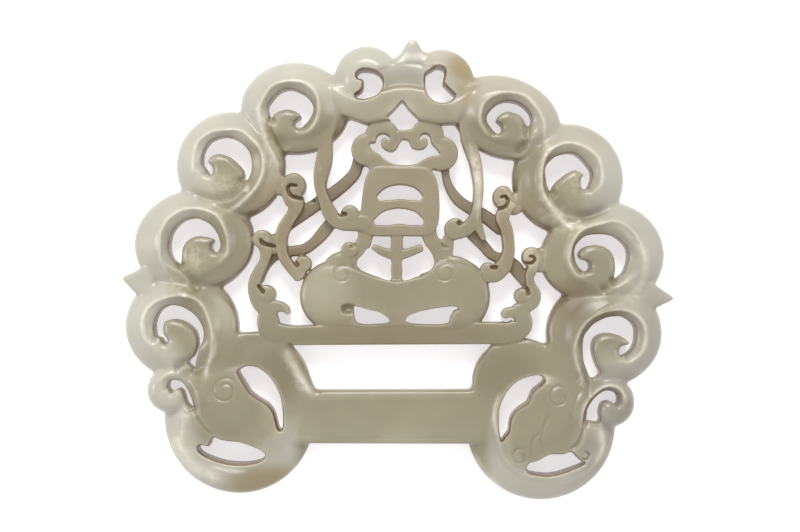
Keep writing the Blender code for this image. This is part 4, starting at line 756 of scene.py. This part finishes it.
def grooveRelief(places, points):
    # a groove as wide as its path says, round at both ends
    line = softLine(points, fine=12)
    near = nearBox(places, line, fading["grooveReach"])
    near = near[places[near, 2] > fading["grooveLow"]]
    away = np.full(len(near), 1e9)
    for x, y, half in line:
        away = np.minimum(away, np.hypot(places[near, 0] - x, places[near, 1] - y) / half)
    lift = np.zeros(len(places))
    lift[near] = eyes["depth"] * np.exp(-away ** 3)
    return lift


# round each pierced scroll: how the band and the knob fall, the valley beside the knob, the ridge
falls = {
    "reach": 3.2, "ending": 12, "blend": 1.2,
    "bandFall": 1.15, "bandReach": 1.3, "bandMost": 2.4, "bandCurve": 1.15,
    "knobFall": 0.6, "knobReach": 1.2, "knobCurve": 2.0,
    # height, width away from the knob and towards it, share left at the ends
    "valley": (-0.7, 0.5, 1.0, (1.0, 0.1)), "ridge": (0.3, 1.6, 0.35, (0.3, 0.3)),
}


def knobOnLeft(line, hole):
    middle = len(line) // 2
    run, gap = line[middle + 1] - line[middle], hole - line[middle]
    return run[0] * gap[1] - run[1] * gap[0] > 0


def holeMiddle(lobe):
    return np.array(lobe["band"] + lobe["knob"]).mean(axis=0)


def scrollFall(places, lobe):
    # round a pierced scroll the surface falls: evenly from the band's ridge, and rounding over the knob
    bandSide, knobSide = (softLine(lobe[side], fine=4) for side in ("band", "knob"))
    near = nearBox(places, np.vstack([bandSide, knobSide]), falls["reach"])
    spots = places[near, :2]
    toBand, toKnob = (lineReach(spots, side)[0] for side in (bandSide, knobSide))
    reach = np.full(len(near), falls["bandReach"])
    if lobe["ridge"]:
        ridge = softLine(lobe["ridge"], fine=5)
        toRidge, along, left = lineReach(spots, ridge)
        beside = np.clip(falls["ending"] * along, 0, 1) * np.clip(falls["ending"] * (1 - along), 0, 1)
        within = left == knobOnLeft(ridge, holeMiddle(lobe))
        reach += beside * (np.where(within, np.minimum(toBand + toRidge, falls["bandMost"]), 1e-3) - reach)
    share = np.clip(0.5 + (toKnob - toBand) / falls["blend"], 0.0, 1.0)
    share = share * share * (3 - 2 * share)
    onBand = falls["bandFall"] * np.clip(1 - toBand / reach, 0, 1) ** falls["bandCurve"]
    onKnob = falls["knobFall"] * np.clip(1 - toKnob / falls["knobReach"], 0, 1) ** falls["knobCurve"]
    lift = np.zeros(len(places))
    lift[near] = -(share * onBand + (1 - share) * onKnob)
    return lift


def scrollLine(places, lobe, kind):
    # the valley or the ridge beside one scroll, with its own width towards the knob and away from it
    height, away, towards, ends = falls[kind]
    line = softLine(lobe[kind], fine=5)
    sides = (towards, away) if knobOnLeft(line, holeMiddle(lobe)) else (away, towards)
    return lineRelief(places, line, height, *sides, ends=ends)


# incised spirals: x, y, radius, turns, starting angle
spirals = {
    "depth": -0.16, "wide": 0.24, "inner": 0.62,
    "curls": [(-31.2, -21.7, 2.3, 1.25, 50), (29.1, -22.9, 2.1, 1, 30), (22, -33.7, 1.5, 1, 50),
        (-10, -0.8, 1.7, 1.1, 30), (8.6, -0.5, 2, 1.15, 10)],
}


def spiralLine(x, y, radius, turns, start):
    angles = np.linspace(0, turns * 2 * math.pi, 40)
    reach = radius * (1 - spirals["inner"] * (angles / angles[-1]) ** 1.5)
    turned = math.radians(start) + angles
    return np.column_stack([x + reach * np.cos(turned), y + reach * np.sin(turned)])


# knobs slope down towards the top right: x, y, radius and fall
knobs = {
    "way": 65,
    "spots": [(-20.6, 26.6, 4.6, 0.35), (-32, 17.2, 5, 0.35), (-36.6, 2.2, 5, 0.4), (-40.3, -12.4, 4.4, 0.35),
        (21.2, 26, 3.2, 0.3), (31.6, 14.2, 5.2, 0.3), (36.2, 0.6, 5.2, 0.3), (38, -15, 4.4, 0.3)],
}


def reliefHeight(places):
    lift = np.zeros(len(places))
    for height, leftWide, rightWide, points in relief.values():
        lift += lineRelief(places, softLine(points, fine=6), height, leftWide, rightWide)
    for depth, wide, stop, points in slopes.values():
        lift += slopeRelief(places, softLine(points, fine=6), depth, wide, stop)
    for curl in spirals["curls"]:
        lift += lineRelief(places, spiralLine(*curl), spirals["depth"], spirals["wide"], spirals["wide"])
    for points in eyes["paths"].values():
        lift += grooveRelief(places, points)
    for lobe in scrolls.values():
        lift += scrollFall(places, lobe)
        for kind in ("valley", "ridge"):
            if lobe[kind]:
                lift += scrollLine(places, lobe, kind)
    turn = math.radians(knobs["way"])
    way = np.array((math.cos(turn), math.sin(turn)))
    for x, y, radius, fall in knobs["spots"]:
        gap = places[:, :2] - (x, y)
        away = np.hypot(*gap.T) / radius
        share = np.clip(0.5 + 0.5 * (gap @ way) / radius, 0, 1)
        lift -= fall * share * np.clip(1 - away ** 4, 0, 1) * (away < 1)
    return lift


def meshArrays(mesh):
    places = np.empty(len(mesh.vertices) * 3, dtype=np.float32)
    mesh.vertices.foreach_get("co", places)
    facing = np.empty(len(mesh.vertices) * 3, dtype=np.float32)
    mesh.vertices.foreach_get("normal", facing)
    return places.reshape(-1, 3).astype(float), facing.reshape(-1, 3).astype(float)


# relief squeezes the height, so that walls keep upright and the back stays flat
squeeze = {"height": 6.0, "least": 0.25, "most": 1.1, "flatBelow": 0.06}
places, facing = meshArrays(carved)
places[:, 2] *= np.clip(1 + reliefHeight(places) / squeeze["height"], squeeze["least"], squeeze["most"])
onBack = places[:, 2] < squeeze["flatBelow"]
places[:, 2] = np.where(onBack, np.minimum(places[:, 2], 0.0), places[:, 2])
places[:, 2] = np.maximum(places[:, 2], 0.0)
carved.vertices.foreach_set("co", places.astype(np.float32).ravel())
carved.update()

print("thinning and finishing the mesh")
plaque = bpy.data.objects.new("jadeCarving", carved)
everything.objects.link(plaque)
thin = plaque.modifiers.new("thin", "DECIMATE")
thin.ratio = min(1.0, carving["triangles"] / (2 * len(carved.polygons)))
thin.use_collapse_triangulate = True
finished = applied(plaque, "jadeCarving")
plaque.modifiers.clear()
plaque.data = finished
work = bmesh.new()
work.from_mesh(finished)
bmesh.ops.scale(work, vec=(mm, mm, mm), verts=work.verts)
for face in work.faces:
    face.smooth = True
bmesh.ops.recalc_face_normals(work, faces=work.faces)
work.to_mesh(finished)
work.free()
print("  faces", len(finished.polygons))

print("colouring the jade")
# where the surface lies: near the outer rim, on a hole's wall, on an arris, in a hollow, on the back
surface = {
    "rimFamilies": ("borderLobe", "topLobe", "smallLobe", "ring", "shoulder"),
    "rimFillers": [(0, 33, 11, 5.6, 0), (-1, -28, 19, 9.0, 0)],
    "rimPale": 1.15, "rimReach": 7.5,
    "bar": {"middle": -1.0, "half": 19.0, "fade": 3.0, "top": -20.0},
    "holeFrom": 0.6, "holeFade": 1.5, "spikeX": 46.6, "spikeY": 38.5,      # past these lie only the spikes
    "wallFrom": 0.6, "wallFade": 0.35, "wallLow": 0.2,
    "edgeFrom": 0.15, "edgeFade": 1.2, "backFade": 3.0, "glintLow": 2.5,
}


def outerOutline():
    # the plaque's outline as seen from its middle
    ovals = [oval for family in surface["rimFamilies"] for oval in domes[family]["ovals"]] + surface["rimFillers"]
    angles = np.radians(np.arange(0, 360, 0.75))
    rays = np.column_stack([np.cos(angles), np.sin(angles)])
    reach = np.zeros(len(angles))
    for x, y, a, b, tilt in ovals:
        turn = math.radians(tilt)
        c, s = math.cos(turn), math.sin(turn)
        dx = (rays[:, 0] * c + rays[:, 1] * s) / a
        dy = (-rays[:, 0] * s + rays[:, 1] * c) / b
        ox, oy = -(x * c + y * s) / a, -(-x * s + y * c) / b
        p, q, r = dx * dx + dy * dy, ox * dx + oy * dy, ox * ox + oy * oy - 1
        inside = q * q - p * r
        far = np.where(inside > 0, (-q + np.sqrt(np.maximum(inside, 0))) / p, 0)
        reach = np.maximum(reach, far)
    return rays * reach[:, None]


def nearestRim(spots, outline):
    best = np.full(len(spots), 1e9)
    for point in outline:
        best = np.minimum(best, (spots[:, 0] - point[0]) ** 2 + (spots[:, 1] - point[1]) ** 2)
    return np.sqrt(best)


def bentness(mesh, places, facing, turns=2):
    # how convex the surface is at each vertex, from the way its neighbours' normals lean
    edges = np.empty(len(mesh.edges) * 2, dtype=np.int32)
    mesh.edges.foreach_get("vertices", edges)
    a, b = edges.reshape(-1, 2).T
    run = places[b] - places[a]
    length = np.maximum(np.linalg.norm(run, axis=1), 1e-6)
    lean = np.einsum("ij,ij->i", facing[b] - facing[a], run) / length ** 2
    count = np.bincount(a, minlength=len(places)) + np.bincount(b, minlength=len(places))
    bent = (np.bincount(a, lean, len(places)) + np.bincount(b, lean, len(places))) / np.maximum(count, 1)
    for _ in range(turns):
        spread = np.bincount(a, bent[b], len(places)) + np.bincount(b, bent[a], len(places))
        bent = 0.5 * bent + 0.5 * spread / np.maximum(count, 1)
    return bent


def addMark(name, values):
    mark = finished.attributes.new(name, "FLOAT", "POINT")
    mark.data.foreach_set("value", np.asarray(values, dtype=np.float32))


def surfaceMarks(places, facing):
    bent = bentness(finished, places, facing)
    rimAway = nearestRim(places[:, :2], outerOutline())
    x, y, z = places.T
    bar = surface["bar"]
    onBar = np.clip((bar["half"] - np.abs(x - bar["middle"])) / bar["fade"], 0, 1) * (y < bar["top"])
    inHole = np.clip(rimAway / surface["holeFade"] - surface["holeFrom"], 0, 1)
    inHole *= (np.abs(x) < surface["spikeX"]) * (y < surface["spikeY"])
    upright = np.clip((surface["wallFrom"] - np.abs(facing[:, 2])) / surface["wallFade"], 0, 1)
    # the outer mark pales the rim, partly the stone's tone and partly a painted glow of light through the thin
    # edges
    addMark("outer", np.clip(surface["rimPale"] - rimAway / surface["rimReach"], 0, 1) * (1 - onBar))
    # the wall mark browns the walls of the holes, partly dirt and partly painted shade
    addMark("wall", upright * inHole * (z > surface["wallLow"]))
    # the edge mark lightens arrises, partly wear and partly painted highlight
    addMark("edge", np.clip((bent - surface["edgeFrom"]) / surface["edgeFade"], 0, 1))
    # the hollow mark browns concave creases, partly dirt and partly painted shade
    addMark("hollow", np.clip(-bent / surface["edgeFade"], 0, 1))
    addMark("back", np.clip(-surface["backFade"] * facing[:, 2], 0, 1))


# painted highlights on bright crests: strength, half width, points
glints = {
    "ridge": (0.5, 0.38),
    "lines": {
        "leftJamb": (0.9, 0.7, [(-20.2, -14.5), (-19.2, -16.6), (-18, -18.8), (-16.7, -20.9), (-15.6, -22.3)]),
        "rightHanging": (1, 0.6, [(13.2, 21.5), (14.2, 18.5), (14.5, 16), (14.5, 13), (14.3, 10.5)]),
        "leftS": (0.7, 0.35, [(-25.2, 22.8), (-24.4, 20.5), (-24.3, 18), (-25, 16), (-26.5, 13.8), (-28.5, 12),
            (-30.5, 10.6)]),
        "leftFlare": (0.6, 0.6, [(-25.1, 28.2), (-24.6, 25.8), (-23.8, 23.6), (-22.6, 21.3), (-20.9, 18.2)]),
        "rightS": (0.8, 0.6, [(27, 22.5), (26.2, 19.5), (25.8, 15.5), (26, 14), (26.8, 12.5), (28, 11),
            (29, 9.8), (30.4, 8.4), (33.5, 7.9), (37, 9.3)]),
        "rightOuter": (0.5, 0.7, [(39.4, 8.3), (42.5, 5.5), (44.6, 1.8), (44.3, -1.8), (43, -4.5)]),
        "leftRing": (1, 1.2, [(-40.4, -30), (-39.9, -32.2), (-37.8, -34.8), (-35, -36.6), (-32, -37.6)]),
        "leftRingHole": (0.8, 0.35, [(-33.6, -35.3), (-31.5, -36), (-29.3, -36.3), (-27.7, -36.3)]),
        "rightRing": (0.5, 0.7, [(13.9, -34), (15.9, -37.2), (18.4, -39.4)]),
        "rightRingEast": (0.6, 0.7, [(36.7, -28.8), (37, -32.2), (35.7, -34.8)]),
        "rightRingHole": (0.5, 0.35, [(18.2, -22.6), (17.5, -25), (17.4, -27.4), (18, -29.8)]),
        "rightBack": (0.7, 0.4, [(32.1, -12.8), (32.1, -15.2), (32.4, -17.4), (33.4, -20.1)]),
        "leftBack": (0.6, 0.4, [(-34.1, -10.6), (-33.2, -12.2), (-33.2, -14.5), (-34.4, -17.3), (-34.8, -19.6)]),
    },
}


def glintMark(places):
    glint = np.zeros(len(places))
    for strength, wide, points in glints["lines"].values():
        glint = np.maximum(glint, lineRelief(places, softLine(points, fine=6), strength, wide, wide))
    strength, wide = glints["ridge"]
    for lobe in scrolls.values():
        if lobe["ridge"]:
            glint = np.maximum(glint, lineRelief(places, softLine(lobe["ridge"], fine=5), strength, wide, wide))
    addMark("glint", glint * (places[:, 2] > surface["glintLow"]))


# patches of colour and wear, some of them painted shade and painted highlights: x, y, half width, half height,
# strength
marks = {
    "stain": [(12.2, 36.9, 3.3, 3.1, 1), (12.6, 33.4, 2.2, 3.8, 0.6), (-22.6, -39.6, 7.6, 4.4, 1)],
    # darker patches: partly a darker tone of the stone, partly painted shade on slopes turned from the light
    "toneAndShade": [(0, -12, 27, 3, 0.85), (-20.5, -19, 5.8, 6.2, 0.9), (19, -18, 7.5, 6.5, 0.85),
        (22, 31, 12, 7, 0.75), (33, 24, 8, 7, 0.45), (42.5, -24, 5, 5, 1), (38, -31.5, 5.5, 5.5, 0.8),
        (-29, -39.5, 6.5, 3.4, 0.7), (31.5, -6, 3.6, 3.6, 1), (46, -11, 5, 9, 0.6),
        (-31, -13.5, 3.6, 4.2, 0.5), (9, 38, 5, 3, 0.5)],
    # milky patches: partly a paler tone of the stone, partly painted highlights on bright slopes
    "milkAndSheen": [(-4, -26.5, 15, 6.5, 0.45), (-13.5, -4, 5, 5.5, 0.4), (-38.8, -34.3, 2.2, 4.6, 0.9),
        (-31.5, -8.5, 3, 5, 0.5), (-23.5, 18.5, 2.5, 5, 0.4), (0, 30.5, 13, 4.5, 0.4)],
    # greyer patches on the right: partly a greyer tone, partly painted shade on slopes turned from the light
    "greyAndShade": [(46, 2, 6, 10, 0.3), (46, -12, 7, 8, 0.5), (41, -25, 7, 7, 1), (37, -33, 7, 7, 0.5),
        (33, -8, 7, 8, 0.3)],
    "warm": [(0, 12, 12, 15, 0.5), (0, -10.5, 22, 4.5, 0.3), (-20.5, 8, 7, 11, 0.8), (20.5, 7, 7, 11, 0.8),
        (-12, 16, 5, 10, 0.6), (13, 15, 4, 10, 0.5), (30.5, -5.5, 4, 5, 0.6)],
    # rubbed patches: wear, with painted highlights on slopes that catch the light
    "wearAndSheen": [(26.5, 14, 1.6, 5, 0.8), (29, 9.8, 3, 1.6, 0.9), (31.5, 7.2, 3, 1.4, 0.6), (-23.4, 23, 1.2, 5, 1),
        (-22, 19.5, 1.1, 2.6, 1), (-37, 2, 2.6, 2.6, 0.8), (-32, 15, 3, 2.4, 0.8), (32, 15.5, 2.2, 2.6, 0.6),
        (19.4, 12.6, 2.4, 2.6, 0.9), (24.6, 2.2, 2, 2.4, 0.9), (14.4, 18, 1.4, 4, 0.9), (42, -3, 3, 4, 0.6),
        (-33, 11, 3, 2, 0.6), (-25.5, 6.6, 2, 2.2, 0.6), (-40, -2.6, 3, 2, 0.6), (27.2, 22.4, 1.2, 1.8, 0.8)],
}
patchEnds = {"stain": 2.5, "other": 1.5}     # how sharply a patch ends


def patchMarks(places):
    for name, patches in marks.items():
        sharp = patchEnds.get(name, patchEnds["other"])
        amount = np.zeros(len(places))
        for x, y, wide, high, strength in patches:
            away = ((places[:, 0] - x) / wide) ** 2 + ((places[:, 1] - y) / high) ** 2
            amount = np.maximum(amount, strength * np.exp(-away ** sharp))
        addMark(name, amount)


places, facing = meshArrays(finished)
places /= mm
surfaceMarks(places, facing)
glintMark(places)
patchMarks(places)

# the stone's colours and gloss; each noise is a scale and its detail, each span from, to, start and end
# cream and glint paint highlights, partly wear; brown and strap paint shade, partly dirt
jadeLook = {
    "pale": (0.46, 0.442, 0.36), "core": (0.275, 0.255, 0.165), "milkAndSheen": (0.5, 0.48, 0.36),
    "cream": (0.62, 0.57, 0.42), "glint": (0.85, 0.82, 0.68), "stain": (0.3, 0.235, 0.105),
    "brown": (0.2, 0.12, 0.045), "strap": (0.17, 0.125, 0.075),
    "warm": (0.95, 0.8, 0.7), "greyAndShade": (0.72, 0.72, 0.76), "toneAndShade": (0.78, 0.73, 0.66),
    "clouds": (110.0, 2.0), "flecks": (900.0, 3.0), "grain": (3200.0, 2.0), "noiseRoughness": 0.55,
    "paleSpan": (0.35, 0.95), "stainSpan": (0.35, 0.65, 0.7, 1.0), "wearAndSheenSpan": (0.6, 1.0, 0.1, 0.75),
    "rubbedSheenSpan": (0.55, 0.75, 0.0, 0.6), "rubbedSheenFlecks": (0.4, 0.6, 0.3, 1.0), "edgeSpan": (0.0, 0.8, 0.3, 0.05),
    "glintSpan": (0.7, 1.2, 0.35, 0.75), "lowHeight": (0.0034, 0.0012), "lowOutside": (0.0, 0.8, 1.0, 0.1),
    "strapHeight": (0.0042, 0.0032), "hollow": 0.3, "wall": 0.85, "mottleSpan": (0.35, 0.75, 0.94, 1.06),
    "roughSpan": (0.0, 0.8, 0.3, 0.45), "ior": 1.6, "bumpStrength": 0.15, "bumpDepth": 0.00012,
    "subsurface": 0.3, "subsurfaceReach": (1.0, 0.8, 0.5), "subsurfaceScale": 0.0012,
}


def jadeMaterial():
    material = bpy.data.materials.new("celadonJade")
    material.use_nodes = True
    tree = material.node_tree
    shader = tree.nodes["Principled BSDF"]
    link = tree.links.new

    def node(kind, **settings):
        item = tree.nodes.new(kind)
        for key, value in settings.items():
            setattr(item, key, value)
        return item

    def noise(name):
        item = node("ShaderNodeTexNoise")
        scale, detail = jadeLook[name]
        item.inputs["Scale"].default_value = scale
        item.inputs["Detail"].default_value = detail
        item.inputs["Roughness"].default_value = jadeLook["noiseRoughness"]
        link(where, item.inputs["Vector"])
        return item.outputs["Fac"]

    def mark(name):
        return node("ShaderNodeAttribute", attribute_name=name).outputs["Fac"]

    def ramp(source, low, high, start=0.0, end=1.0):
        item = node("ShaderNodeMapRange")
        link(source, item.inputs["Value"])
        for key, value in (("From Min", low), ("From Max", high), ("To Min", start), ("To Max", end)):
            item.inputs[key].default_value = value
        return item.outputs["Result"]

    def filled(slot, value):
        if isinstance(value, float):
            slot.default_value = value
        elif isinstance(value, tuple):
            slot.default_value = value + (1.0,)
        else:
            link(value, slot)

    def maths(how, first, second):
        item = node("ShaderNodeMath", operation=how)
        filled(item.inputs[0], first)
        filled(item.inputs[1], second)
        return item.outputs["Value"]

    def blend(amount, first, second, how="MIX"):
        item = node("ShaderNodeMix", data_type="RGBA", blend_type=how)
        filled(item.inputs["Factor"], amount)
        filled(item.inputs["A"], first)
        filled(item.inputs["B"], second)
        return item.outputs["Result"]

    where = node("ShaderNodeTexCoord").outputs["Object"]
    split = node("ShaderNodeSeparateXYZ")
    link(where, split.inputs["Vector"])
    height = split.outputs["Z"]
    clouds, flecks, grain = noise("clouds"), noise("flecks"), noise("grain")
    # the stone: a greener core that pales towards the rim, the paler rim partly a painted glow of light through the
    # thin edges, with its patches
    pale = ramp(maths("ADD", mark("outer"), maths("MULTIPLY", clouds, 0.5)), *jadeLook["paleSpan"])
    colour = blend(pale, jadeLook["core"], jadeLook["pale"])
    colour = blend(mark("milkAndSheen"), colour, jadeLook["milkAndSheen"])
    for name in ("warm", "greyAndShade", "toneAndShade"):
        colour = blend(mark(name), colour, jadeLook[name], "MULTIPLY")
    stained = maths("MULTIPLY", mark("stain"), ramp(clouds, *jadeLook["stainSpan"]))
    colour = blend(stained, colour, jadeLook["stain"])
    # wear and painted highlights: rubbed patches that also paint sheen, paler arrises that paint highlights, and
    # painted glints on the crests
    speckled = maths("ADD", flecks, maths("MULTIPLY", grain, 0.5))
    wearAndSheen = maths("MULTIPLY", mark("wearAndSheen"), ramp(speckled, *jadeLook["wearAndSheenSpan"]))
    colour = blend(wearAndSheen, colour, jadeLook["cream"])
    rubbedSheen = maths("MULTIPLY", ramp(mark("warm"), *jadeLook["rubbedSheenSpan"]), ramp(flecks, *jadeLook["rubbedSheenFlecks"]))
    arris = maths("MAXIMUM", ramp(mark("warm"), *jadeLook["edgeSpan"]), rubbedSheen)
    colour = blend(maths("MULTIPLY", mark("edge"), arris), colour, jadeLook["cream"])
    # painted highlights: the crests are brightened along the glint lines
    glinting = maths("MULTIPLY", mark("glint"), ramp(maths("ADD", flecks, clouds), *jadeLook["glintSpan"]))
    colour = blend(glinting, colour, jadeLook["glint"])
    # dirt and painted shade: browner on the low straps, in hollows and on the walls of the holes, and none on the
    # back
    front = ramp(mark("back"), 0.0, 1.0, 1.0, 0.0)
    low = maths("MULTIPLY", ramp(height, *jadeLook["lowHeight"]), ramp(mark("outer"), *jadeLook["lowOutside"]))
    low = maths("MULTIPLY", low, front)
    # the low straps are browned, partly dirt and partly painted shade
    sunk = maths("MULTIPLY", ramp(height, *jadeLook["strapHeight"]), maths("MULTIPLY", mark("warm"), front))
    colour = blend(sunk, colour, jadeLook["strap"])
    # hollows and the walls of the holes are browned, partly dirt and partly painted shade
    dark = maths("MAXIMUM", low, maths("MULTIPLY", mark("hollow"), jadeLook["hollow"]))
    dark = maths("MAXIMUM", dark, maths("MULTIPLY", mark("wall"), jadeLook["wall"]))
    colour = blend(dark, colour, jadeLook["brown"])
    mottle = ramp(maths("ADD", maths("MULTIPLY", flecks, 0.1), clouds), *jadeLook["mottleSpan"])
    tint = node("ShaderNodeCombineColor")
    for slot in tint.inputs[:3]:
        link(mottle, slot)
    colour = blend(1.0, colour, tint.outputs["Color"], "MULTIPLY")
    link(colour, shader.inputs["Base Color"])
    link(ramp(mark("warm"), *jadeLook["roughSpan"]), shader.inputs["Roughness"])
    shader.inputs["IOR"].default_value = jadeLook["ior"]
    shader.inputs["Subsurface Weight"].default_value = jadeLook["subsurface"]
    shader.inputs["Subsurface Radius"].default_value = jadeLook["subsurfaceReach"]
    shader.inputs["Subsurface Scale"].default_value = jadeLook["subsurfaceScale"]
    bump = node("ShaderNodeBump")
    bump.inputs["Strength"].default_value = jadeLook["bumpStrength"]
    bump.inputs["Distance"].default_value = jadeLook["bumpDepth"]
    link(maths("ADD", grain, flecks), bump.inputs["Height"])
    link(bump.outputs["Normal"], shader.inputs["Normal"])
    return material


finished.materials.clear()
finished.materials.append(jadeMaterial())
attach(plaque, "root")
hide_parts("jade_plaque")

print("setting the stage")
studio = {
    "floorSize": 3.0, "floorDrop": 0.05, "floorColour": (0.88, 0.88, 0.89), "floorRoughness": 0.9,
    "floorGlow": 0.42, "glowColour": (1.0, 0.985, 1.0),
    "lamps": {      # place, size, power, whether it casts shadows
        "keyLight": ((-30.0, 430.0, 460.0), 240.0, 2.2, True),
        "sideLight": ((-540.0, 40.0, 320.0), 170.0, 0.8, False),
        "farLight": ((540.0, 40.0, 320.0), 170.0, 0.45, False)},
    "worldColour": (0.98, 0.96, 1.0), "worldPower": 0.73,
    "cameraPlace": (0.36, 0.73, 330.0), "lens": 80.9, "sensor": 36.0, "nearest": 0.01,
}

floorMesh = bpy.data.meshes.new("paleFloor")
work = bmesh.new()
bmesh.ops.create_grid(work, x_segments=1, y_segments=1, size=studio["floorSize"] / 2)
bmesh.ops.translate(work, vec=(0, 0, -studio["floorDrop"] * mm), verts=work.verts)
work.to_mesh(floorMesh)
work.free()
floor = bpy.data.objects.new("paleFloor", floorMesh)
everything.objects.link(floor)
floorMaterial = bpy.data.materials.new("paleFloor")
floorMaterial.use_nodes = True
floorShader = floorMaterial.node_tree.nodes["Principled BSDF"]
floorShader.inputs["Base Color"].default_value = studio["floorColour"] + (1.0,)
floorShader.inputs["Roughness"].default_value = studio["floorRoughness"]
floorShader.inputs["Emission Color"].default_value = studio["glowColour"] + (1.0,)
floorShader.inputs["Emission Strength"].default_value = studio["floorGlow"]
floorMesh.materials.append(floorMaterial)

for name, (place, size, power, shadow) in studio["lamps"].items():
    light = bpy.data.lights.new(name, "AREA")
    light.shape = "SQUARE"
    light.size = size * mm
    light.energy = power
    light.use_shadow = shadow
    holder = bpy.data.objects.new(name, light)
    holder.location = [part * mm for part in place]
    holder.rotation_euler = (-Vector(holder.location)).to_track_quat("-Z", "Y").to_euler()     # at the plaque
    everything.objects.link(holder)

world = bpy.context.scene.world or bpy.data.worlds.new("studio")
bpy.context.scene.world = world
world.use_nodes = True
backdrop = world.node_tree.nodes["Background"]
backdrop.inputs["Color"].default_value = studio["worldColour"] + (1.0,)
backdrop.inputs["Strength"].default_value = studio["worldPower"]

lens = bpy.data.cameras.new("overheadCamera")
lens.lens = studio["lens"]
lens.sensor_width = studio["sensor"]
lens.clip_start = studio["nearest"]
camera = bpy.data.objects.new("overheadCamera", lens)
camera.location = [part * mm for part in studio["cameraPlace"]]
everything.objects.link(camera)
bpy.context.scene.camera = camera
bpy.context.scene.view_settings.view_transform = "Standard"
